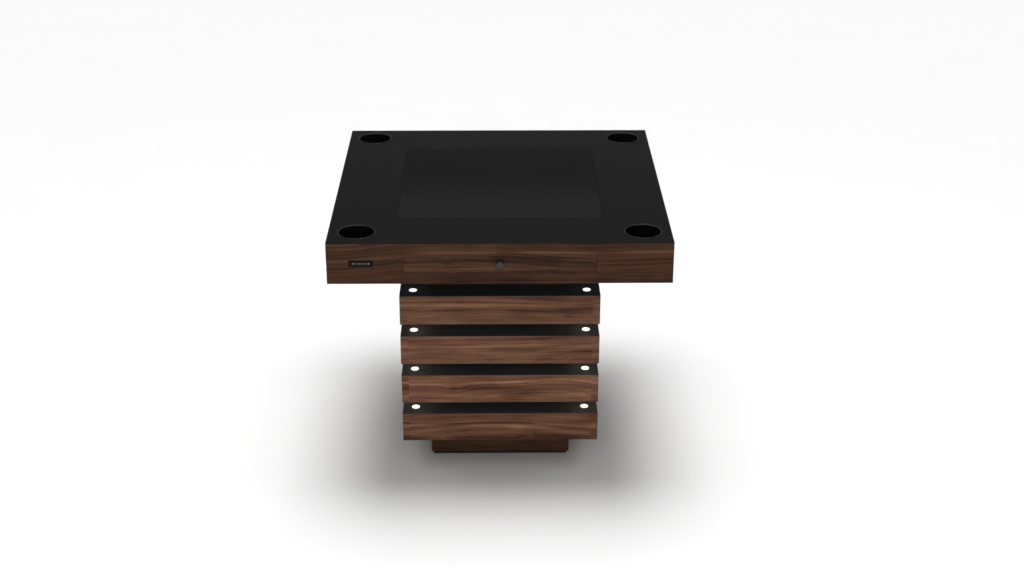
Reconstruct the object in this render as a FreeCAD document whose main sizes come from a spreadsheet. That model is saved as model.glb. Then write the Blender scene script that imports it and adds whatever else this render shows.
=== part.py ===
import FreeCAD, Part

import math
import os
from types import SimpleNamespace

import Sketcher
from FreeCAD import Placement, Rotation, Vector

# A square gaming table. A box top with a black playing surface, four drop-in cup holders and a
# drawer stands on a column of four stacked boxes ("tiers"), on a recessed plinth. The origin is
# on the floor under the middle of the table, +Z is up, and the drawer faces -Y. Tiers and
# spacers are numbered from the floor up. All sizes are in millimetres.

DIMENSIONS = [
    # name, size, what it measures
    ("ease", 0.6, "chamfer along visible board edges"),
    ("table_width", 900, "side of the square top"),
    ("apron_height", 115, "whole height of the top box"),
    ("apron_board", 18, "thickness of the apron boards"),
    ("skin_thick", 3, "black sheet that covers the whole top"),
    ("core_thick", 18, "plywood under the black sheet"),
    ("base_thick", 12, "board that closes the top box from below"),
    ("cup_inset", 75, "edge of the top to the middle of a cup holder"),
    ("cup_radius", 47, "inside radius of a cup holder"),
    ("cup_wall", 1.5, "wall of a cup holder"),
    ("cup_depth", 70, "inside depth of a cup holder"),
    ("cup_round", 4, "rounding inside the foot of a cup holder"),
    ("cup_flange", 3, "how far the rim reaches past the inside wall"),
    ("cup_flange_thick", 1, "height of the rim above the top"),
    ("cup_rim_round", 0.4, "rounding of the rim"),
    ("cup_slack", 0.5, "space round a cup holder in its hole"),
    ("panel_width", 560, "side of the inset panel, with its trim"),
    ("trim_width", 6, "width of the trim round the inset panel"),
    ("glass_thick", 5, "thickness of the inset glass"),
    ("glass_gap", 0.2, "space between the glass and its trim"),
    ("bed_thick", 1, "foam tape that beds the glass"),
    ("bed_width", 20, "width of the foam tape"),
    ("drawer_width", 500, "drawer front"),
    ("drawer_height", 50, "drawer front"),
    ("drawer_drop", 32.5, "top of the table to the top of the drawer front"),
    ("drawer_gap", 0.5, "joint round the drawer front"),
    ("drawer_depth", 350, "drawer box behind its front"),
    ("drawer_wall", 12, "sides and back of the drawer box"),
    ("drawer_side_height", 42, "sides of the drawer box"),
    ("drawer_side_lift", 3, "bottom of the drawer front to the bottom of the sides"),
    ("drawer_bottom_lift", 4, "bottom of the sides to the bottom board"),
    ("drawer_bottom_thick", 5, "bottom board of the drawer"),
    ("drawer_groove", 5, "depth of the groove that holds the bottom board"),
    ("liner_thick", 2, "felt mat in the drawer"),
    ("liner_slack", 0.5, "space round the felt mat"),
    ("knob_radius", 10.75, "drawer knob"),
    ("knob_foot", 8.5, "radius of the knob where it meets the drawer"),
    ("knob_length", 18, "drawer knob"),
    ("knob_dish", 0.8, "depth of the dish in the knob's face"),
    ("knob_lip", 1.2, "flat rim round the dish"),
    ("knob_round", 0.5, "rounding of the knob's outer edge"),
    ("screw_radius", 2, "screw that holds the knob"),
    ("screw_depth", 10, "how far the screw goes into the knob"),
    ("screw_clearance", 0.2, "space round the screw in the drawer front"),
    ("screw_head", 4, "radius of the screw's head"),
    ("screw_head_thick", 2.5, "height of the screw's head"),
    ("screw_head_round", 1, "rounding of the screw's head"),
    ("thread_gap", 0.05, "space between a thread and its hole"),
    ("runner_inset", 1, "edge of the drawer front to the face of a runner's board"),
    ("runner_gap", 13, "space for a runner beside the drawer"),
    ("runner_height", 35, "outer channel of a runner"),
    ("runner_length", 340, "each member of a runner"),
    ("runner_reach", 10, "depth of a runner's channel"),
    ("runner_sheet", 1.2, "steel of a runner"),
    ("runner_web_gap", 1, "space between the webs of two members"),
    ("runner_ball", 1.9, "space for the balls between two members"),
    ("runner_setback", 1, "apron's inner face to the front of a runner"),
    ("runner_board", 12, "board that carries a runner"),
    ("runner_board_extra", 10, "how far that board runs past the drawer"),
    ("plate_width", 65, "name plate"),
    ("plate_height", 18, "name plate"),
    ("plate_thick", 1.5, "name plate, and the radius of its corners"),
    ("plate_chamfer", 0.45, "chamfer round the name plate's face"),
    ("plate_x", 360, "middle of the table to the middle of the name plate"),
    ("plate_drop", 57.5, "top of the table to the middle of the name plate"),
    ("pad_height", 10, "foot pad under the plinth"),
    ("pad_inset", 6, "edge of the plinth to the edge of the foot pad"),
    ("plinth_width", 396, "side of the plinth"),
    ("plinth_height", 80, "height of the plinth boards"),
    ("plinth_floor_lift", 15, "bottom of the plinth boards to the floor board"),
    ("plinth_floor_thick", 18, "floor board in the plinth"),
    ("frame_board", 18, "boards of the plinth, spacers and neck"),
    ("tier_width", 550, "side of a tier"),
    ("tier_height", 86, "whole height of a tier"),
    ("tier_gap", 35, "open space between two tiers"),
    ("tier_board", 20, "boards round a tier"),
    ("tier_lip", 2, "edge of a tier's black top that covers its boards"),
    ("tier_top_thick", 18, "whole thickness of a tier's black top"),
    ("tier_bottom_thick", 12, "board that closes a tier from below"),
    ("spacer_width", 396, "side of the spacer frames"),
    ("neck_width", 406, "side of the neck"),
    ("neck_height", 115, "top of the highest tier to the underside of the top box"),
    ("led_x", 239, "middle of the table to a light, along X"),
    ("led_y", 235, "middle of the table to a light, along Y"),
    ("led_radius", 11, "lens of a light"),
    ("led_rise", 1.5, "how far a lens stands above its tier"),
    ("led_round", 1, "rounding on top of a lens"),
    ("led_body_radius", 9.5, "body of a light"),
    ("led_body_depth", 22, "body of a light below the tier's top"),
    ("led_hole_radius", 10, "hole for the body of a light"),
    ("rod_radius", 5, "tie rod"),
    ("rod_hole_radius", 5.5, "hole for a tie rod"),
    ("rod_x", 150, "middle of the table to a tie rod, along X"),
    ("rod_y", 110, "middle of the table to a tie rod, along Y"),
    ("rod_end", 3, "how far a tie rod stands out of its nut"),
    ("washer_radius", 15, "washer on a tie rod"),
    ("washer_thick", 2, "washer on a tie rod"),
    ("nut_flats", 17, "nut on a tie rod, across its flats"),
    ("nut_height", 8, "nut on a tie rod"),
    ("cable_hole_radius", 8, "hole for the wiring in the middle of each board"),
    ("cable_radius", 3.5, "main cable of the lights"),
    ("cable_bend", 25, "bend of the main cable in the plinth"),
    ("lead_radius", 1.5, "lead to one light"),
    ("lead_drop", 20, "top of a tier to the leads under it"),
    ("lead_gap", 0.05, "end of a lead to its light"),
    ("driver_width", 45, "power supply of the lights"),
    ("driver_length", 100, "power supply of the lights"),
    ("driver_height", 28, "power supply of the lights"),
    ("driver_chamfer", 2, "chamfer round the top of the power supply"),
    ("driver_y", 40, "middle of the table to the near end of the power supply"),
    ("inlet_width", 27, "power inlet through the plinth"),
    ("inlet_height", 20, "power inlet through the plinth"),
    ("inlet_depth", 22, "power inlet from the plinth's face inwards"),
    ("inlet_rim", 2, "rim of the power inlet, wide and thick"),
    ("inlet_side_wall", 4, "wall beside the socket"),
    ("inlet_top_wall", 5, "wall above and below the socket"),
    ("inlet_socket", 12, "depth of the socket in the power inlet"),
    ("inlet_pin", 1.2, "radius of a contact pin in the socket"),
    ("inlet_pin_length", 9, "contact pin in the socket"),
    ("inlet_pin_x", 4.3, "middle of the socket to a contact pin"),
]
TIERS = 4
SIDES = {"left": -1, "right": 1}
TOLERANCE = 1e-6

doc = FreeCAD.newDocument("GamingTable")
sheet = doc.addObject("Spreadsheet::Sheet", "Sizes")
subparts = []


# ---- sizes -----------------------------------------------------------------------------------


class Size:
    """A length that carries its value and its expression on the sheet."""

    def __init__(self, value, text):
        self.value = value
        self.text = text

    def __add__(self, other):
        return Size(self.value + value_of(other), f"({self.text} + {text_of(other)})")

    def __radd__(self, other):
        return Size(value_of(other) + self.value, f"({text_of(other)} + {self.text})")

    def __sub__(self, other):
        return Size(self.value - value_of(other), f"({self.text} - {text_of(other)})")

    def __rsub__(self, other):
        return Size(value_of(other) - self.value, f"({text_of(other)} - {self.text})")

    def __mul__(self, number):
        return Size(self.value * number, f"({self.text} * {number})")

    def __rmul__(self, number):
        return self * number

    def __truediv__(self, number):
        return Size(self.value / number, f"({self.text} / {number})")

    def __neg__(self):
        return self * -1


def value_of(size):
    return size.value if isinstance(size, Size) else float(size)


def text_of(size):
    return size.text if isinstance(size, Size) else str(float(size))


def fill_sheet():
    """Write the driving dimensions to the sheet and give them back by name."""
    sizes = SimpleNamespace()
    for row, (name, value, note) in enumerate(DIMENSIONS, 1):
        sheet.set(f"A{row}", name)
        sheet.set(f"B{row}", str(value))
        sheet.setAlias(f"B{row}", name)
        sheet.set(f"C{row}", note)
        setattr(sizes, name, Size(float(value), f"Sizes.{name}"))
    doc.recompute()
    return sizes


d = fill_sheet()

# Heights of the stack, from the floor up
PLINTH_TOP = d.pad_height + d.plinth_height
TIER_PITCH = d.tier_height + d.tier_gap
NECK_BOTTOM = PLINTH_TOP + TIERS * d.tier_height + (TIERS - 1) * d.tier_gap
BOX_BOTTOM = NECK_BOTTOM + d.neck_height
TABLE_TOP = BOX_BOTTOM + d.apron_height
CORE_BOTTOM = TABLE_TOP - d.skin_thick - d.core_thick
BASE_TOP = BOX_BOTTOM + d.base_thick
PLINTH_FLOOR = d.pad_height + d.plinth_floor_lift
WIRE_LEVEL = PLINTH_FLOOR + d.plinth_floor_thick + d.driver_height / 2

# Places in plan
TABLE_EDGE = d.table_width / 2
APRON_INSIDE = TABLE_EDGE - d.apron_board
CUP_PLACE = TABLE_EDGE - d.cup_inset
CUP_HOLE = d.cup_radius + d.cup_wall + d.cup_slack
GLASS_WIDTH = d.panel_width - 2 * d.trim_width - 2 * d.glass_gap
PANEL_RECESS = d.glass_thick + d.bed_thick - d.skin_thick

# The drawer and its runners
DRAWER_BOTTOM = TABLE_TOP - d.drawer_drop - d.drawer_height
DRAWER_SIDES = DRAWER_BOTTOM + d.drawer_side_lift
DRAWER_BOARD = DRAWER_SIDES + d.drawer_bottom_lift
DRAWER_FLOOR = DRAWER_BOARD + d.drawer_bottom_thick
RUNNER_FACE = d.drawer_width / 2 + d.runner_inset
SIDE_FACE = RUNNER_FACE - d.runner_gap
DRAWER_INSIDE = SIDE_FACE - d.drawer_wall
RUNNER_LEVEL = DRAWER_SIDES + d.drawer_side_height / 2


# ---- tools for sketches and features ---------------------------------------------------------


def bind(thing, prop, size):
    thing.setExpression(prop, text_of(size))


def place(thing, x=0, y=0, z=0, turn=None):
    """Put a thing at sizes from the origin, turned as given."""
    thing.Placement = Placement(Vector(0, 0, 0), turn or Rotation())
    for axis, size in zip("xyz", (x, y, z)):
        bind(thing, f"Placement.Base.{axis}", size)
    return thing


def about_z(angle):
    return Rotation(Vector(0, 0, 1), angle)


FACING_FRONT = Rotation(Vector(1, 0, 0), 90)
FACING_BACK = Rotation(Vector(1, 0, 0), -90)


def subpart(label, thing):
    """Name a thing as one sub-part of the table."""
    thing.Label = label
    subparts.append(thing)
    return thing


def new_body(name="Piece"):
    return doc.addObject("PartDesign::Body", name)


def new_sketch(body, role="XY_Plane", lift=0):
    """An empty sketch on one of a body's own planes, lifted off it along its normal."""
    sketch = body.newObject("Sketcher::SketchObject", "Outline")
    plane = next(p for p in body.Origin.OriginFeatures if p.Role == role)
    sketch.AttachmentSupport = [(plane, "")]
    sketch.MapMode = "FlatFace"
    bind(sketch, "AttachmentOffset.Base.z", lift)
    return sketch


def hold_value(sketch, constraint, size):
    row = sketch.addConstraint(constraint)
    sketch.setExpression(f"Constraints[{row}]", text_of(size))


def hold_point(sketch, curve, point, x, y):
    """Hold one point of a curve at sizes from the sketch's origin."""
    for kind, zero_line, size in (("DistanceX", -2, x), ("DistanceY", -1, y)):
        value = value_of(size)
        if value == 0:
            sketch.addConstraint(Sketcher.Constraint("PointOnObject", curve, point, zero_line))
        elif value > 0:
            hold_value(sketch, Sketcher.Constraint(kind, -1, 1, curve, point, value), size)
        else:
            hold_value(sketch, Sketcher.Constraint(kind, curve, point, -1, 1, -value), -size)


def draw_polygon(sketch, corners):
    """A closed outline of straight lines through corners held at their sizes."""
    first = sketch.GeometryCount
    points = [Vector(value_of(x), value_of(y), 0) for x, y in corners]
    for start, end in zip(points, points[1:] + points[:1]):
        sketch.addGeometry(Part.LineSegment(start, end), False)
    for i, (x, y) in enumerate(corners):
        following = first + (i + 1) % len(corners)
        sketch.addConstraint(Sketcher.Constraint("Coincident", first + i, 2, following, 1))
        hold_point(sketch, first + i, 1, x, y)


def draw_rectangle(sketch, width, height, x=0, y=0):
    """A rectangle about the point x, y."""
    low_x, high_x = x - width / 2, x + width / 2
    low_y, high_y = y - height / 2, y + height / 2
    draw_polygon(sketch, [(low_x, low_y), (high_x, low_y), (high_x, high_y), (low_x, high_y)])


def draw_circle(sketch, x, y, radius):
    middle = Vector(value_of(x), value_of(y), 0)
    circle = Part.Circle(middle, Vector(0, 0, 1), value_of(radius))
    curve = sketch.addGeometry(circle, False)
    hold_point(sketch, curve, 3, x, y)
    hold_value(sketch, Sketcher.Constraint("Radius", curve, value_of(radius)), radius)


def pad(body, sketch, length):
    feature = body.newObject("PartDesign::Pad", "Pad")
    feature.Profile = sketch
    bind(feature, "Length", length)
    return feature


def pocket(body, sketch, length, forward=False):
    """Cut against the sketch's normal, or along it when forward. It has to remove something."""
    doc.recompute()
    whole = body.Tip.Shape.Volume
    feature = body.newObject("PartDesign::Pocket", "Pocket")
    feature.Profile = sketch
    feature.Reversed = forward
    bind(feature, "Length", length)
    doc.recompute()
    if feature.Shape.Volume >= whole:
        raise RuntimeError(f"{body.Label}: a pocket cuts nothing")
    return feature


def revolve(body, corners):
    """Turn a closed outline of (radius, height) corners round the body's Z axis."""
    sketch = new_sketch(body, "XZ_Plane")
    draw_polygon(sketch, corners)
    feature = body.newObject("PartDesign::Revolution", "Revolution")
    feature.Profile = sketch
    feature.ReferenceAxis = (sketch, ["V_Axis"])
    feature.Angle = 360
    return feature


def dress(body, kind, size, wanted):
    """Chamfer or fillet the edges of a body that are wanted."""
    doc.recompute()
    base = body.Tip
    names = [f"Edge{i}" for i, edge in enumerate(base.Shape.Edges, 1) if wanted(edge)]
    if not names:
        raise RuntimeError(f"{body.Label}: no edge to dress")
    feature = body.newObject(f"PartDesign::{kind}", kind)
    feature.Base = (base, names)
    bind(feature, "Size" if kind == "Chamfer" else "Radius", size)
    return feature


def chamfer(body, size, wanted):
    return dress(body, "Chamfer", size, wanted)


def fillet(body, size, wanted):
    return dress(body, "Fillet", size, wanted)


def lies_at(edge, axis, size):
    """True for an edge whose ends both lie at one size along an axis."""
    place_of_ends = [getattr(vertex.Point, axis) for vertex in edge.Vertexes]
    return all(abs(found - value_of(size)) < TOLERANCE for found in place_of_ends)


def is_ring(edge, radius, height):
    """True for a circular edge about Z of one radius at one height."""
    curve = edge.Curve
    if not isinstance(curve, Part.Circle):
        return False
    right_size = abs(curve.Radius - value_of(radius)) < TOLERANCE
    return right_size and abs(curve.Center.z - value_of(height)) < TOLERANCE


def four_corners(x, y):
    return [(along * x, across * y) for along in (-1, 1) for across in (-1, 1)]


def box(width, depth, height, x=0, y=0, z=0):
    """A plain block about x and y that stands on z."""
    block = doc.addObject("Part::Box", "Block")
    bind(block, "Length", width)
    bind(block, "Width", depth)
    bind(block, "Height", height)
    return place(block, x - width / 2, y - depth / 2, z)


def cylinder(radius, height, x=0, y=0, z=0, turn=None):
    """A plain round bar that stands on x, y, z."""
    bar = doc.addObject("Part::Cylinder", "Bar")
    bind(bar, "Radius", radius)
    bind(bar, "Height", height)
    return place(bar, x, y, z, turn)


def cut(base, tool):
    result = doc.addObject("Part::Cut", "Cut")
    result.Base = base
    result.Tool = tool
    return result


def fuse(members):
    result = doc.addObject("Part::MultiFuse", "Fusion")
    result.Shapes = members
    return result


def group(members):
    """Separate solids that make up one sub-part."""
    result = doc.addObject("Part::Compound", "Group")
    result.Links = members
    return result


def board_with_holes(width, thick, holes):
    """A square board, bottom at z = 0, with round holes given as (x, y, radius)."""
    body = new_body("Board")
    sketch = new_sketch(body)
    draw_rectangle(sketch, width, width)
    for x, y, radius in holes:
        draw_circle(sketch, x, y, radius)
    pad(body, sketch, thick)
    return body


def stack_holes():
    """The holes for the tie rods and the wiring that every board of the column has."""
    rods = [(x, y, d.rod_hole_radius) for x, y in four_corners(d.rod_x, d.rod_y)]
    return rods + [(0, 0, d.cable_hole_radius)]


def mitred_board(width, thick, height):
    """The front board of a square frame: mitred ends, bottom at z = 0, outer corners eased."""
    body = new_body("Board")
    outside = width / 2
    inside = outside - thick
    half_ease = d.ease / 2
    right = [
        (outside - d.ease, -outside),
        (outside - half_ease, half_ease - outside),
        (inside, -inside),
    ]
    left = [(-x, y) for x, y in reversed(right)]
    sketch = new_sketch(body)
    draw_polygon(sketch, right + left)
    pad(body, sketch, height)
    return body


def ease_outer_edges(body, outside, bottom=0, top=None):
    """Chamfer the long outer edges of a mitred board at its bottom and its top."""

    def wanted(edge):
        on_face = lies_at(edge, "y", -outside)
        low = bottom is not None and lies_at(edge, "z", bottom)
        high = top is not None and lies_at(edge, "z", top)
        return on_face and (low or high)

    chamfer(body, d.ease, wanted)


def square_frame(width, thick, height):
    """Four mitred boards that meet in a square."""
    boards = []
    for quarter in range(4):
        board = mitred_board(width, thick, height)
        boards.append(place(board, turn=about_z(90 * quarter)))
    return boards


# ---- the top box -----------------------------------------------------------------------------


def make_aprons():
    """Four mitred walnut boards round the top box. The front one has the drawer's opening."""
    height = d.apron_height - d.skin_thick
    for quarter, side in enumerate(("front", "right", "back", "left")):
        body = mitred_board(d.table_width, d.apron_board, height)
        ease_outer_edges(body, TABLE_EDGE)
        if side == "front":
            sketch = new_sketch(body, "XZ_Plane", APRON_INSIDE)
            middle = DRAWER_BOTTOM - BOX_BOTTOM + d.drawer_height / 2
            opening_width = d.drawer_width + 2 * d.drawer_gap
            opening_height = d.drawer_height + 2 * d.drawer_gap
            draw_rectangle(sketch, opening_width, opening_height, 0, middle)
            pocket(body, sketch, d.apron_board, forward=True)
        place(body, z=BOX_BOTTOM, turn=about_z(90 * quarter))
        subpart(f"apron_{side}", body)


def cup_places():
    return four_corners(CUP_PLACE, CUP_PLACE)


def make_top_skin():
    """The black sheet over the whole top, with holes for the cup holders and the inset panel."""
    body = board_with_holes(d.table_width, d.skin_thick, [(x, y, CUP_HOLE) for x, y in cup_places()])
    sketch = new_sketch(body, lift=d.skin_thick)
    draw_rectangle(sketch, d.panel_width, d.panel_width)
    pocket(body, sketch, d.skin_thick)
    edge_of = value_of(TABLE_EDGE)

    def on_rim(edge):
        at_top = lies_at(edge, "z", d.skin_thick)
        along = any(lies_at(edge, axis, way * edge_of) for axis in "xy" for way in (-1, 1))
        return at_top and along

    chamfer(body, d.ease, on_rim)
    subpart("top_skin", place(body, z=TABLE_TOP - d.skin_thick))


def make_top_core():
    """The plywood panel under the black sheet, with a shallow recess for the inset panel."""
    body = board_with_holes(2 * APRON_INSIDE, d.core_thick, [(x, y, CUP_HOLE) for x, y in cup_places()])
    sketch = new_sketch(body, lift=d.core_thick)
    draw_rectangle(sketch, d.panel_width, d.panel_width)
    pocket(body, sketch, PANEL_RECESS)
    subpart("top_core", place(body, z=CORE_BOTTOM))


def make_inset_panel():
    """The glossy panel in the middle of the top: trim, glass and the foam tape under it."""
    recess = TABLE_TOP - d.skin_thick - PANEL_RECESS
    trim = new_body("Trim")
    sketch = new_sketch(trim)
    draw_rectangle(sketch, d.panel_width, d.panel_width)
    inner = d.panel_width - 2 * d.trim_width
    draw_rectangle(sketch, inner, inner)
    depth = d.glass_thick + d.bed_thick
    pad(trim, sketch, depth)
    subpart("panel_trim", place(trim, z=recess))

    glass = new_body("Glass")
    sketch = new_sketch(glass)
    draw_rectangle(sketch, GLASS_WIDTH, GLASS_WIDTH)
    pad(glass, sketch, d.glass_thick)
    chamfer(glass, d.ease / 2, lambda edge: lies_at(edge, "z", d.glass_thick))
    subpart("panel_glass", place(glass, z=recess + d.bed_thick))

    bed = new_body("Bed")
    sketch = new_sketch(bed)
    draw_rectangle(sketch, GLASS_WIDTH, GLASS_WIDTH)
    inner = GLASS_WIDTH - 2 * d.bed_width
    draw_rectangle(sketch, inner, inner)
    pad(bed, sketch, d.bed_thick)
    subpart("panel_bedding_tape", place(bed, z=recess))


def make_cup_holder(label, x, y):
    """A drop-in cup with a thin rim that rests on the black sheet (z = 0 in its own frame)."""
    body = new_body("Cup")
    outside = d.cup_radius + d.cup_wall
    rim = d.cup_radius + d.cup_flange
    top = d.cup_flange_thick
    floor = top - d.cup_depth
    under = floor - d.cup_wall
    revolve(
        body,
        [
            (0, under),
            (outside, under),
            (outside, 0),
            (rim, 0),
            (rim, top),
            (d.cup_radius, top),
            (d.cup_radius, floor),
            (0, floor),
        ],
    )
    fillet(body, d.cup_round, lambda edge: is_ring(edge, d.cup_radius, floor))
    fillet(body, d.cup_round + d.cup_wall, lambda edge: is_ring(edge, outside, under))

    def on_rim(edge):
        return is_ring(edge, rim, top) or is_ring(edge, d.cup_radius, top)

    fillet(body, d.cup_rim_round, on_rim)
    subpart(label, place(body, x, y, TABLE_TOP))


def make_cup_holders():
    for depth_name, across in (("front", -1), ("back", 1)):
        for side, along in SIDES.items():
            make_cup_holder(f"cup_holder_{depth_name}_{side}", along * CUP_PLACE, across * CUP_PLACE)


def make_top_base():
    """The board that closes the top box from below and carries it on the neck."""
    body = board_with_holes(2 * APRON_INSIDE, d.base_thick, stack_holes())
    subpart("top_base", place(body, z=BOX_BOTTOM))


def make_name_plate():
    """A small blank plate on the front apron."""
    body = new_body("Plate")
    sketch = new_sketch(body)
    draw_rectangle(sketch, d.plate_width, d.plate_height)
    pad(body, sketch, d.plate_thick)
    fillet(body, d.plate_thick, lambda edge: edge.Length < value_of(d.plate_thick) + TOLERANCE)
    chamfer(body, d.plate_chamfer, lambda edge: lies_at(edge, "z", d.plate_thick))
    place(body, -d.plate_x, -TABLE_EDGE, TABLE_TOP - d.plate_drop, FACING_FRONT)
    subpart("name_plate", body)


# ---- the drawer ------------------------------------------------------------------------------


def make_drawer_front():
    """The inset front, flush with the apron, with the hole for the knob's screw."""
    body = new_body("Front")
    sketch = new_sketch(body)
    draw_rectangle(sketch, d.drawer_width, d.drawer_height)
    draw_circle(sketch, 0, 0, d.screw_radius + d.screw_clearance)
    pad(body, sketch, d.apron_board)

    def on_face(edge):
        ring = isinstance(edge.Curve, Part.Circle)
        return lies_at(edge, "z", d.apron_board) and not ring

    chamfer(body, d.ease / 2, on_face)
    middle = DRAWER_BOTTOM + d.drawer_height / 2
    subpart("drawer_front", place(body, 0, -APRON_INSIDE, middle, FACING_FRONT))


def make_drawer_sides():
    """The two long sides, each with a groove along its inner face for the bottom board."""
    for side, way in SIDES.items():
        body = new_body("Side")
        low = d.drawer_bottom_lift
        high = low + d.drawer_bottom_thick
        inner = d.drawer_wall
        groove = d.drawer_wall - d.drawer_groove
        profile = [(0, 0), (inner, 0), (inner, low), (groove, low), (groove, high), (inner, high)]
        profile += [(inner, d.drawer_side_height), (0, d.drawer_side_height)]
        sketch = new_sketch(body, "XZ_Plane")
        draw_polygon(sketch, [(-way * x, z) for x, z in profile])
        pad(body, sketch, d.drawer_depth)
        rear = d.drawer_depth - APRON_INSIDE
        subpart(f"drawer_side_{side}", place(body, way * SIDE_FACE, rear, DRAWER_SIDES))


def make_drawer_back():
    """The back stands on the bottom board between the sides."""
    height = DRAWER_SIDES + d.drawer_side_height - DRAWER_FLOOR
    rear = d.drawer_depth - APRON_INSIDE - d.drawer_wall / 2
    subpart("drawer_back", box(2 * DRAWER_INSIDE, d.drawer_wall, height, 0, rear, DRAWER_FLOOR))


def make_drawer_bottom():
    """The bottom board runs in the grooves of the sides."""
    width = 2 * (DRAWER_INSIDE + d.drawer_groove)
    middle = d.drawer_depth / 2 - APRON_INSIDE
    board = box(width, d.drawer_depth, d.drawer_bottom_thick, 0, middle, DRAWER_BOARD)
    subpart("drawer_bottom", board)


def make_drawer_liner():
    """A felt mat on the bottom board."""
    body = new_body("Liner")
    sketch = new_sketch(body)
    width = 2 * (DRAWER_INSIDE - d.liner_slack)
    depth = d.drawer_depth - d.drawer_wall - 2 * d.liner_slack
    draw_rectangle(sketch, width, depth)
    pad(body, sketch, d.liner_thick)
    chamfer(body, d.liner_thick / 4, lambda edge: lies_at(edge, "z", d.liner_thick))
    middle = (d.drawer_depth - d.drawer_wall) / 2 - APRON_INSIDE
    subpart("drawer_liner", place(body, 0, middle, DRAWER_FLOOR))


def make_knob():
    """A turned knob with a narrow foot and a shallow dish in its face."""
    body = new_body("Knob")
    flare_start = d.knob_length / 6
    flare_end = d.knob_length / 3
    dish = d.knob_length - d.knob_dish
    dish_edge = d.knob_radius - d.knob_lip
    hole = d.screw_radius + d.thread_gap
    blind_end = d.screw_depth + d.screw_radius / 2
    revolve(
        body,
        [
            (hole, 0),
            (d.knob_foot, 0),
            (d.knob_foot, flare_start),
            (d.knob_radius, flare_end),
            (d.knob_radius, d.knob_length),
            (dish_edge, d.knob_length),
            (dish_edge - d.knob_dish, dish),
            (0, dish),
            (0, blind_end),
            (hole, blind_end),
        ],
    )
    fillet(body, d.knob_round, lambda edge: is_ring(edge, d.knob_radius, d.knob_length))
    middle = DRAWER_BOTTOM + d.drawer_height / 2
    subpart("drawer_knob", place(body, 0, -TABLE_EDGE, middle, FACING_FRONT))


def make_knob_screw():
    """The screw that goes through the drawer front into the knob."""
    body = new_body("Screw")
    length = d.apron_board + d.screw_depth
    revolve(
        body,
        [
            (0, -d.screw_head_thick),
            (d.screw_head, -d.screw_head_thick),
            (d.screw_head, 0),
            (d.screw_radius, 0),
            (d.screw_radius, length),
            (0, length),
        ],
    )
    fillet(body, d.screw_head_round, lambda edge: is_ring(edge, d.screw_head, -d.screw_head_thick))
    middle = DRAWER_BOTTOM + d.drawer_height / 2
    subpart("knob_screw", place(body, 0, -APRON_INSIDE, middle, FACING_FRONT))


def channel_profile(web, depth, half_height, sheet_thick):
    """A C-shaped outline: the back of its web at one place, and its flanges reaching by depth."""
    web_front = web + math.copysign(1, value_of(depth)) * sheet_thick
    tip = web + depth
    inner = half_height - sheet_thick
    upper = [(web_front, inner), (tip, inner), (tip, half_height), (web, half_height)]
    lower = [(x, -z) for x, z in reversed(upper)]
    return lower + upper


def make_runners():
    """Two telescopic runners, each a fixed channel, a middle member and a slide, nested."""
    channel_half = d.runner_height / 2
    middle_half = channel_half - d.runner_sheet - d.runner_ball
    slide_half = middle_half - d.runner_sheet - d.runner_ball
    middle_web = RUNNER_FACE - d.runner_sheet - d.runner_web_gap
    members = {
        "channel": (RUNNER_FACE, -d.runner_reach, channel_half),
        "middle": (middle_web, d.runner_sheet - d.runner_reach, middle_half),
        "slide": (SIDE_FACE, d.runner_reach - 2 * d.runner_web_gap, slide_half),
    }
    for side, way in SIDES.items():
        for member, (web, reach, half_height) in members.items():
            body = new_body("Runner")
            sketch = new_sketch(body, "XZ_Plane")
            profile = channel_profile(web, reach, half_height, d.runner_sheet)
            draw_polygon(sketch, [(way * x, z) for x, z in profile])
            pad(body, sketch, d.runner_length)
            rear = d.runner_length - APRON_INSIDE + d.runner_setback
            subpart(f"runner_{member}_{side}", place(body, 0, rear, RUNNER_LEVEL))


def make_runner_boards():
    """Two boards between the base and the core that carry the runners."""
    length = d.drawer_depth + d.runner_board_extra
    height = CORE_BOTTOM - BASE_TOP
    middle = length / 2 - APRON_INSIDE
    boards = []
    for way in SIDES.values():
        x = way * (RUNNER_FACE + d.runner_board / 2)
        boards.append(box(d.runner_board, length, height, x, middle, BASE_TOP))
    subpart("runner_boards", group(boards))


# ---- the column ------------------------------------------------------------------------------


def make_tier_boards(tier, level):
    """Four walnut boards. The sides run the full depth and the others stand between them."""
    height = d.tier_height - d.tier_lip
    outside = d.tier_width / 2
    boards = []
    for way in (-1, 1):
        side = new_body("Side")
        sketch = new_sketch(side)
        draw_rectangle(sketch, d.tier_board, d.tier_width, way * (outside - d.tier_board / 2), 0)
        pad(side, sketch, height)

        def outer_edge(edge, way=way):
            upright = abs(edge.Length - value_of(height)) < TOLERANCE
            return lies_at(edge, "x", way * outside) and (upright or lies_at(edge, "z", 0))

        chamfer(side, d.ease, outer_edge)
        boards.append(side)

        front = new_body("Front")
        sketch = new_sketch(front)
        between = d.tier_width - 2 * d.tier_board
        draw_rectangle(sketch, between, d.tier_board, 0, way * (outside - d.tier_board / 2))
        pad(front, sketch, height)

        def low_edge(edge, way=way):
            return lies_at(edge, "y", way * outside) and lies_at(edge, "z", 0)

        chamfer(front, d.ease, low_edge)
        boards.append(front)
    subpart(f"tier_{tier}_boards", place(group(boards), z=level))


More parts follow.
